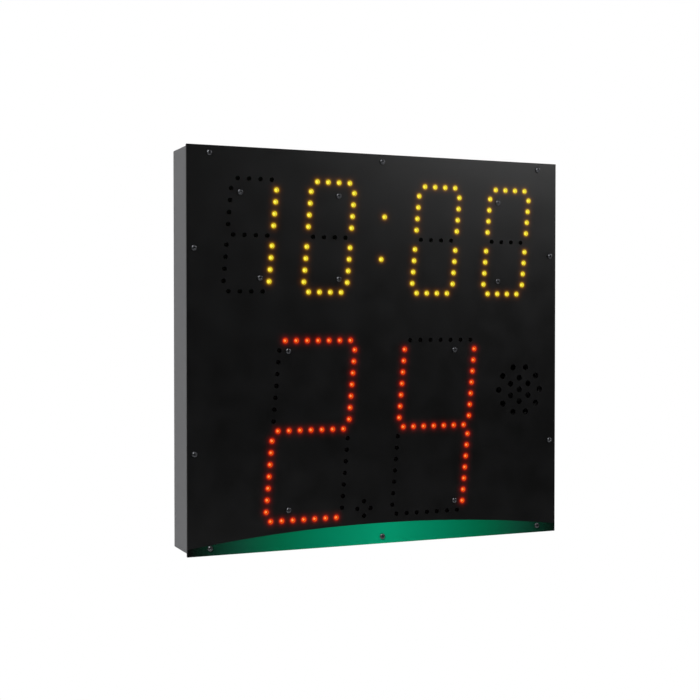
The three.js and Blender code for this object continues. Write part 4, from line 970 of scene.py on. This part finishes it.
# Soda-lime glass, clear and drawn as a tube.
glass = finish("clear_glass_tube", "#F4F8F6", "#FFFFFF", (0.02, 0.05), 2.0, 0.001, ior=1.52)
glass.node_tree.nodes["Principled BSDF"].inputs["Transmission Weight"].default_value = 1.0
tube = [(tube_outer, -tube_half), (tube_outer, tube_half)]
tube += [(tube_inner, tube_half), (tube_inner, -tube_half), tube[0]]
tube = along_fuse(tube)
piece("fuse_glass_tube", tube, glass, "drawer", "fuse_glass", "fuse")
end_cap = [(0, -10), (2.2, -10), (2.5, -9.7), (2.5, -5.2), (2.42, -5)]
end_cap += [(2.25, -5), (2.25, -9.4), (0, -9.4)]
metal = [along_fuse([(radius, side * y) for radius, y in end_cap]) for side in (-1, 1)]
wire = [(0, -wire_half), (wire_radius, -wire_half), (wire_radius, wire_half), (0, wire_half)]
metal.append(along_fuse(wire))
piece("fuse_caps", joined(metal), nickel, "drawer", "fuse_glass")

# Data socket
# A nickel-plated die-cast flange in the bottom wall that holds a modular jack for the console's
# line: a black insert with eight gold-plated springs and a notch for the plug's latch.
data_face, data_top = -268.9, -245.6
data_lip, data_corner, data_edge = (31, 26), 2.5, 0.6
shell_size, shell_edge = (18, 16), 0.4
insert_size, insert_shift, insert_depth = (14.2, 12.2), 0.8, 17
jack_depth, jack_mouth = 15, (12, 8.4)
notch_size, notch_shift = (6.4, 3.6), 4.8
spring_count, spring_pitch, spring_size, spring_shift = 8, 1.02, (0.45, 0.5), -3.6
data_screws = [(data_x + side * data_screw_x, fitting_y + side * data_screw_y) for side in (-1, 1)]
data_outline = centred(data_x, fitting_y, *data_lip, data_corner)
flange_shape = fitting_lip(data_outline, data_face, data_edge, data_screws)
shell_levels = [(data_top, shell_edge), (data_top - shell_edge, 0), (data_face + 1, 0)]
shell = standing(centred(data_x, fitting_y, *shell_size, 0.5), shell_levels)
insert_outline = centred(data_x, fitting_y + insert_shift, *insert_size, 0.6)
throat = well(insert_outline, data_face + insert_depth, data_face)
# Nickel plate over a zinc casting: bright, and softened by the casting's grain.
die_cast = finish("nickel_plated_die_cast", "#A6A7A8", "#BDBEBE", (0.30, 0.44), 0.9, 0.01, metallic=1.0)
flange_solid = cut(cut(flange_shape, [shell], "UNION"), [throat])
piece("data_flange", flange_solid, die_cast, "clock", "bright_steel", "data_socket")
insert_levels = [(data_face + insert_depth, 0), (data_face + 0.4, 0), (data_face + 0.1, 0.3)]
mouth_cut = well(centred(data_x, fitting_y, *jack_mouth), data_face + jack_depth, data_face)
notch_outline = centred(data_x, fitting_y + notch_shift, *notch_size)
notch_cut = well(notch_outline, data_face + jack_depth, data_face)
jack = cut(standing(insert_outline, insert_levels), [mouth_cut, notch_cut])
piece("data_jack", jack, nylon, "clock", "bright_steel")
# Hard gold on the jack's springs.
gold = finish("gold_plated_bronze", "#D9B25A", "#E9C673", (0.18, 0.30), 0.4, 0.002, metallic=1.0)
spring_levels = [(data_face + jack_depth, 0), (data_face + 3, 0), (data_face + 2.6, 0.1)]
springs = []
for i in range(spring_count):
    x = data_x + (i - (spring_count - 1) / 2) * spring_pitch
    springs.append(standing(centred(x, fitting_y + spring_shift, *spring_size), spring_levels))
piece("data_springs", joined(springs), gold, "clock", "bright_steel")

# Fitting screws
# Pan-head screws of zinc-plated steel with a cross recess hold both fittings and the power supply.
small_seat = 0.3  # between a fitting's face and the underside of its screws' heads
up = Matrix.Rotation(math.pi / 2, 4, "X")
recess_share, recess_taper = 0.35, 0.6
cross_reach, cross_half = 0.62, 0.13  # of the recess's arms, as shares of the head's radius
supply_screw_seat = -3.6


def cross_screw(radius, length, head, height):
    """A pan-head screw along Y, its head in front of y = 0, with a tapered cross recess."""
    profile = [(0, -height)]
    for i in range(1, 7):
        turn = math.pi / 2 * i / 6
        crown = recess_share + (1 - recess_share) * math.cos(turn)
        profile.append((head * math.sin(turn), -height * crown))
    profile += [(head, -0.1), (head - 0.1, 0), (radius, 0)]
    profile += [(radius, length - 0.4), (radius * 0.7, length), (0, length)]
    arm, half = head * cross_reach, head * cross_half
    cross = [(arm, half), (half, half), (half, arm), (-half, arm), (-half, half), (-arm, half)]
    cross += [(-x, -z) for x, z in cross]
    levels = [(-height - 1, 0), (-height * recess_share, half * recess_taper)]
    return cut(turned(profile, 32), [prism([Vector(point) for point in cross], levels)])


small = cross_screw(1.5, 6.1, 2.8, 1.8)
for fitting, face, places in (("inlet", inlet_face, inlet_screws), ("data", data_face, data_screws)):
    for i, (x, y) in enumerate(places):
        name = f"{fitting}_screw_{i + 1}"
        placed = set_by(small, Matrix.Translation((x, y, face - small_seat)) @ up)
        piece(name + "_m3", placed, zinc, "clock", "bright_steel", name)
large = cross_screw(2.0, 3.3, 3.8, 2.2)
for i, (x, z) in enumerate(supply_screws):
    placed = moved(large, x=x, y=supply_screw_seat, z=z)
    piece(f"supply_screw_m4_{i + 1}", placed, zinc, "clock", "bright_steel", f"supply_screw_{i + 1}")

# Power supply
# An enclosed mains supply on the rear wall: an aluminium base with two ears, a perforated cover and
# a black terminal strip with five clamp screws.
supply_x, supply_z = -119.84, -150.12
supply_half_width, supply_half_height = 49.5, 41
ear_reach, ear_half_height = 58.5, 10
supply_front, supply_shelf, supply_back = -31.8, -3.3, -1.8
supply_sheet, strip_gap = 1, 0.05
shelf_z = supply_z - 29
vent_pitch, vent_rows, vent_columns, vent_radius, vent_rise = (7, 6), 7, 11, 1.8, 6
terminal_count, terminal_pitch, terminal_width = 5, 12, 60
terminal_front, terminal_floor, terminal_slot = -16.3, -9.3, 9
clamp_sink, clamp_rise = 1, 5.5
# Mill-finish aluminium, rolled upwards: pale grey, with long faint lines.
rolled = {"metallic": 1.0, "stretch": (1, 1, 12)}
aluminium = finish("mill_aluminium", "#B2B4B6", "#C6C8C9", (0.32, 0.44), 0.5, 0.004, **rolled)
supply_left, supply_right = supply_x - supply_half_width, supply_x + supply_half_width
supply_low, supply_high = supply_z - supply_half_height, supply_z + supply_half_height
# The right half of the base's outline, with its ear. The left half is the same, turned round.
right_side = [
    (supply_half_width, -supply_half_height),
    (supply_half_width, -ear_half_height),
    (ear_reach, -ear_half_height),
    (ear_reach, ear_half_height),
    (supply_half_width, ear_half_height),
    (supply_half_width, supply_half_height),
]
base_outline = right_side + [(-x, -z) for x, z in right_side]
base_outline = [Vector((supply_x + x, supply_z + z)) for x, z in base_outline]
base_holes = [circle(x, z, screw_hole, 20) for x, z in supply_screws]
base = prism(base_outline, slab(supply_shelf, supply_back, 0.2), base_holes)
piece("supply_base", base, aluminium, "clock", "supply_cover", "power_supply")
cover_levels = [(supply_front + depth, inset) for depth, inset in ((0, 0.8), (0.25, 0.25), (0.8, 0))]
cover_levels.append((supply_shelf, 0))
cover = prism(rectangle(supply_left, shelf_z, supply_right, supply_high, 1.0), cover_levels)
inner_left, inner_right = supply_left + supply_sheet, supply_right - supply_sheet
inner = rectangle(inner_left, shelf_z + supply_sheet, inner_right, supply_high - supply_sheet)
inner = straight(inner, supply_front + supply_sheet, supply_shelf - supply_sheet)
vents = []
for row in range(vent_rows):
    for column in range(vent_columns):
        # Every other row is shifted by half a pitch.
        x = supply_x + (column - (vent_columns - 1) / 2 + (row % 2) / 2 - 0.25) * vent_pitch[0]
        z = supply_z + vent_rise + (row - (vent_rows - 1) / 2) * vent_pitch[1]
        vents.append(straight(circle(x, z, vent_radius, 16), supply_front - overrun, supply_front + 2))
perforated = cut(cover, [inner, joined(vents)])
piece("supply_cover", perforated, aluminium, "clock", "supply_cover")
half_strip = terminal_width / 2
strip_top = shelf_z - strip_gap
strip_outline = rectangle(supply_x - half_strip, supply_low, supply_x + half_strip, strip_top)
strip = straight(strip_outline, terminal_front, supply_shelf - strip_gap)
clamp = cross_screw(1.6, 1.0, 3.2, 1.8)
slots, clamps = [], []
for i in range(terminal_count):
    x = supply_x + (i - (terminal_count - 1) / 2) * terminal_pitch
    half_slot = terminal_slot / 2
    slot = rectangle(x - half_slot, supply_low - overrun, x + half_slot, shelf_z - 0.4)
    slots.append(straight(slot, terminal_front - overrun, terminal_floor))
    clamps.append(moved(clamp, x=x, y=terminal_floor - clamp_sink, z=supply_low + clamp_rise))
piece("supply_terminals", cut(strip, [joined(slots)]), nylon, "clock", "supply_cover")
piece("terminal_screws", joined(clamps), zinc, "clock", "supply_cover")

# Control board
# The small board that drives the lamps and the loudspeaker is plugged onto the rear of the shot-time
# board by two header strips. It carries a processor, three capacitors and the leads' sockets.
control_front, control_back = -45.7, -44.1
control_x, control_z = 40, -150.12
control_size, control_hole_at, control_hole = (110, 70), (51, 31), 1.6
header_z, header_size, header_front = 27, (60, 5), -56.4
shroud_height, shroud_wall = 6.5, 1
lead_plug, lower_plugs_z = (12, 9), control_z - 30.5
supply_plug_x, data_plug_x, speaker_plug_x = -1, 51.76, 90.5
chip_size, chip_corner = 12, 0.5
can_places = ((-26, -8), (26, 8), (34, -8))
leg_count, leg_pitch, leg_out, leg_size, leg_height = 12, 0.9, 6.5, (1.2, 0.4), 0.5
holes = []
for side, end in ((-1, -1), (-1, 1), (1, -1), (1, 1)):
    x, z = control_x + side * control_hole_at[0], control_z + end * control_hole_at[1]
    holes.append(circle(x, z, control_hole, 16))
plate_levels = slab(control_front, control_back, board_edge)
plate = prism(centred(control_x, control_z, *control_size, board_corner), plate_levels, holes)
piece("control_plate", plate, mask, "clock", "circuit_board", "control_board")
header_levels = slab(header_front, control_front, 0.3)
headers = [centred(control_x, control_z + side * header_z, *header_size) for side in (-1, 1)]
headers = joined([prism(outline, header_levels) for outline in headers])
piece("header_strips", headers, nylon, "clock", "circuit_board")
ribbon_socket("control_ribbon_socket", control_back, control_z + 26)


def lead_socket(middle_x, middle_z, width, height):
    """A shrouded socket: four walls with the lead's plug standing inside them."""
    outline = centred(middle_x, middle_z, width, height, 0.5)
    inner = centred(middle_x, middle_z, width - 2 * shroud_wall, height - 2 * shroud_wall)
    plug = prism(shrunk(inner, 0.3), slab(control_back, control_back + plug_depth, 0.3))
    return joined([prism(outline, slab(control_back, control_back + shroud_height, 0.2), [inner]), plug])


# Natural nylon: milky, faintly yellow.
natural = finish("natural_nylon", "#C9C6B8", "#DAD7CA", (0.38, 0.50), 0.5, 0.006, ior=1.53)
lead_sockets = [lead_socket(x, lower_plugs_z, *lead_plug) for x in (supply_plug_x, data_plug_x)]
lead_sockets.append(lead_socket(speaker_plug_x, control_z, *lead_plug[::-1]))
piece("lead_sockets", joined(lead_sockets), natural, "clock", "circuit_board")
# Moulding epoxy: black, matt and faintly grainy.
mould = finish("black_moulding_epoxy", "#1C1C1E", "#262628", (0.55, 0.68), 0.3, 0.01, ior=1.55)
chip_levels = [(control_back + height, inset) for height, inset in ((0.4, 0.2), (1.1, 0), (2, 0.25))]
chip = prism(centred(control_x, control_z, chip_size, chip_size, chip_corner), chip_levels)
piece("processor", chip, mould, "clock", "circuit_board")
legs = []
for i in range(leg_count):
    step = (i - (leg_count - 1) / 2) * leg_pitch
    for side in (-1, 1):
        beside = centred(control_x + side * leg_out, control_z + step, *leg_size)
        above = centred(control_x + step, control_z + side * leg_out, *leg_size[::-1])
        legs += [straight(leg, control_back, control_back + leg_height) for leg in (beside, above)]
piece("processor_legs", joined(legs), solder, "clock", "circuit_board")
can = [(0, 0), (3.0, 0), (3.15, 0.8), (2.95, 1.4), (3.15, 2), (3.15, 7.1), (2.8, 7.5), (0, 7.5)]
can = turned([(radius, control_back + height) for radius, height in can], 24)
cans = [moved(can, x=control_x + x, z=control_z + z) for x, z in can_places]
piece("capacitors", joined(cans), aluminium, "clock", "circuit_board")

# Inner leads
# Four round leads in black PVC sleeve and one flat grey ribbon join the fittings. Each is fixed at
# both ends and lies in an easy curve between them.
mains_radius, lead_radius = 3.2, 1.8
straight_run = 9  # of the supply's lead, the data lead and the ribbon, out of what they plug into
speaker_run = 12
sleeve = finish("black_pvc_sleeve", "#202022", "#2A2A2C", (0.45, 0.58), 0.6, 0.01, ior=1.53)


def lead_curve(node, radius, *places):
    data = bpy.data.curves.new(node + "_sleeve", "CURVE")
    data.dimensions = "3D"
    data.bevel_depth = radius / millimetres
    data.bevel_resolution = 4
    data.resolution_u = 16
    data.use_fill_caps = True
    spline = data.splines.new("BEZIER")
    spline.bezier_points.add(len(places) - 1)
    for knot, place in zip(spline.bezier_points, places):
        knot.co = Vector(place) / millimetres
        knot.handle_left_type = knot.handle_right_type = "AUTO"
    data.materials.append(sleeve)
    fitted(bpy.data.objects.new(node + "_sleeve", data), "clock", "cable_sleeve", node)


mains_x, output_x = supply_x - 20, supply_x + 20
terminal_y, terminal_low = -9.8, supply_z - 41.3
socket_y, socket_low = -40.1, control_z - 35.3
tag_x, tag_y, tag_z = speaker_at[0] - 40.3, speaker_at[1] + 18.375, speaker_at[2]
lead_curve(
    "mains_lead",
    mains_radius,
    (inlet_x, fitting_y, -231.3),
    (inlet_x, fitting_y, -228.1),
    (-144.96, -20.95, -211.36),
    (mains_x, terminal_y, terminal_low - mains_radius),
    (mains_x, terminal_y, terminal_low),
)
lead_curve(
    "supply_lead",
    lead_radius,
    (output_x, terminal_y, terminal_low),
    (output_x, terminal_y, terminal_low - straight_run),
    (-50.42, -24.95, terminal_low - 2 * straight_run),
    (supply_plug_x, socket_y, socket_low - straight_run),
    (supply_plug_x, socket_y, socket_low),
)
lead_curve(
    "data_lead",
    lead_radius,
    (data_x, fitting_y, -245.3),
    (data_x, fitting_y, -245.3 + straight_run),
    (45.76, -36.1, -215.36),
    (data_plug_x, socket_y, socket_low - straight_run),
    (data_plug_x, socket_y, socket_low),
)
lead_curve(
    "speaker_lead",
    lead_radius,
    (95.3, socket_y, control_z),
    (95.3 + speaker_run, socket_y, control_z),
    (137.1, -42.1, -104.96),
    (tag_x - speaker_run, tag_y, tag_z),
    (tag_x, tag_y, tag_z),
)

# The ribbon is twenty conductors side by side, so its faces are ribbed.
conductor, conductors, per_conductor = 1.25, 20, 3
ribbon_near, ribbon_low = socket_y, -114.82
ribbon_far, ribbon_high = -52.7, 78.5
ribbon_steps = 40
web, crown = 0.24, 0.26
section = []
for face in (1, -1):
    for i in range(conductors * per_conductor + 1):
        share = i / (conductors * per_conductor)
        thick = web + crown * abs(math.sin(math.pi * conductors * share))
        section.append((face * (share - 0.5) * conductors * conductor, face * thick))
points, faces = [], []
bent = ribbon_high - ribbon_low - 2 * straight_run
for i in range(ribbon_steps + 1):
    z = ribbon_low + (ribbon_high - ribbon_low) * i / ribbon_steps
    share = min(1.0, max(0.0, (z - ribbon_low - straight_run) / bent))
    y = ribbon_near + (ribbon_far - ribbon_near) * share**2 * (3 - 2 * share)
    points.extend((ribbon_x + across, y + thick, z) for across, thick in section)
count = len(section)
for start in range(0, ribbon_steps * count, count):
    for k in range(count):
        after = (k + 1) % count
        faces.append([start + k, start + after, start + count + after, start + count + k])
faces += [list(range(count)), [len(points) - 1 - k for k in range(count)]]
# Grey PVC ribbon, its first conductor marked red.
ribbon_grey = finish("grey_ribbon_pvc", "#8C8C8E", "#9A9A9C", (0.42, 0.55), 0.6, 0.006, ior=1.53)
tree, shader, along = opened(ribbon_grey)
mark_from = (ribbon_x + (conductors / 2 - 1) * conductor) / millimetres
first = add(tree, "ShaderNodeMath", {0: along["X"], 1: mark_from}, operation="GREATER_THAN").outputs[0]
laid_over(tree, shader, first, linear("#7E2620"))
ribbon = points, faces
piece("game_ribbon_lead", ribbon, ribbon_grey, "clock", "ribbon", "game_ribbon", sharp=40)

# Studio
# A pale floor well below the hung clock, and a white surround. Three large soft lamps: the key on the
# left for the case and the panel, a long strip on the right for the sheen, and one behind the clock.
floor_drop, floor_radius, floor_sides = 1.1, 2.4, 96  # metres
# Backdrop paper: matt white, with no sheen of its own.
paper = finish("matt_white_floor", "#E6E6E6", "#EAEAEA", (0.75, 0.85), 2.0, 0.02, ior=1.5)


def seen(tree):
    """1 for what is looked at, reflected or seen through glass, and 0 for what only lights."""
    path = add(tree, "ShaderNodeLightPath").outputs
    rays = {0: path["Is Glossy Ray"], 1: path["Is Transmission Ray"]}
    return path["Is Camera Ray"], add(tree, "ShaderNodeMath", rays, operation="MAXIMUM").outputs[0]


# The floor runs out into the white surround towards its edge.
tree, shader, along = opened(paper)
ground = add(tree, "ShaderNodeCombineXYZ", {"X": along["X"], "Y": along["Y"]}).outputs[0]
out = add(tree, "ShaderNodeVectorMath", {0: ground}, operation="LENGTH").outputs["Value"]
fading = {"Value": out, "From Min": 0.5, "From Max": 2.2}
edge = add(tree, "ShaderNodeMapRange", fading, interpolation_type="SMOOTHSTEP").outputs[0]
looked, shiny = seen(tree)
either = add(tree, "ShaderNodeMath", {0: looked, 1: shiny}, operation="MAXIMUM").outputs[0]
share = add(tree, "ShaderNodeMath", {0: edge, 1: either}, operation="MULTIPLY").outputs[0]
glow = add(tree, "ShaderNodeEmission", {"Color": white, "Strength": 1.0}).outputs[0]
blend = add(tree, "ShaderNodeMixShader", {0: share, 1: shader.outputs[0], 2: glow}).outputs[0]
tree.links.new(blend, tree.nodes["Material Output"].inputs["Surface"])
floor_mesh = bpy.data.meshes.new("floor")
rim = [(*point, -floor_drop) for point in circle(0, 0, floor_radius, floor_sides)]
floor_mesh.from_pydata(rim, [], [list(range(floor_sides))])
floor_mesh.materials.append(paper)
floor = bpy.data.objects.new("floor", floor_mesh)
bpy.context.scene.collection.objects.link(floor)


def soft_lamp(name, power, width, height, at):
    """A rectangular soft box that faces the middle of the clock's back."""
    data = bpy.data.lights.new(name, "AREA")
    data.shape = "RECTANGLE"
    data.size, data.size_y = width, height
    data.energy = power
    lamp = bpy.data.objects.new(name, data)
    lamp.location = at
    lamp.rotation_euler = (-Vector(at)).to_track_quat("-Z", "Y").to_euler()
    bpy.context.scene.collection.objects.link(lamp)


soft_lamp("key", 128, 1.6, 1.6, (-1.67, -2.0, 2.19))
soft_lamp("sheen", 15.5, 1.9, 0.35, (1.82, -1.62, 0.92))
soft_lamp("rear", 70, 1.6, 1.6, (0.9, 2.8, 1.3))

world = bpy.data.worlds.new("studio")
bpy.context.scene.world = world
world.use_nodes = True
tree = world.node_tree
tree.nodes.clear()
around = add(tree, "ShaderNodeTexCoord").outputs["Generated"]
facing = add(tree, "ShaderNodeSeparateXYZ", {"Vector": around}).outputs["Y"]
# The room is pale behind the clock and dark in front of it.
pale = {"Value": facing, "From Min": -0.4, "From Max": 0.4, "To Min": 0.005, "To Max": 0.42}
level = add(tree, "ShaderNodeMapRange", pale, interpolation_type="SMOOTHSTEP").outputs[0]
# White paper hangs behind the clock where the camera looks: it is what gloss and glass show there.
towards_paper = (math.sin(camera_turn), math.cos(camera_turn), 0)
along = add(tree, "ShaderNodeVectorMath", {0: around, 1: towards_paper}, operation="DOT_PRODUCT")
fading = {"Value": along.outputs["Value"], "From Min": 0.80, "From Max": 0.95}
paper_seen = add(tree, "ShaderNodeMapRange", fading, interpolation_type="SMOOTHSTEP").outputs[0]
looked, shiny = seen(tree)
reflected = add(tree, "ShaderNodeMath", {0: paper_seen, 1: shiny}, operation="MULTIPLY").outputs[0]
for other in (reflected, looked):
    level = add(tree, "ShaderNodeMath", {0: level, 1: other}, operation="MAXIMUM").outputs[0]
surround = add(tree, "ShaderNodeBackground", {"Color": white, "Strength": level})
add(tree, "ShaderNodeOutputWorld", {"Surface": surround.outputs[0]})
bpy.context.scene.view_settings.view_transform = "Standard"

# Close
# The pieces were tied to their bodies as they were made, and the scene is brought
# up to date.
bpy.context.view_layer.update()
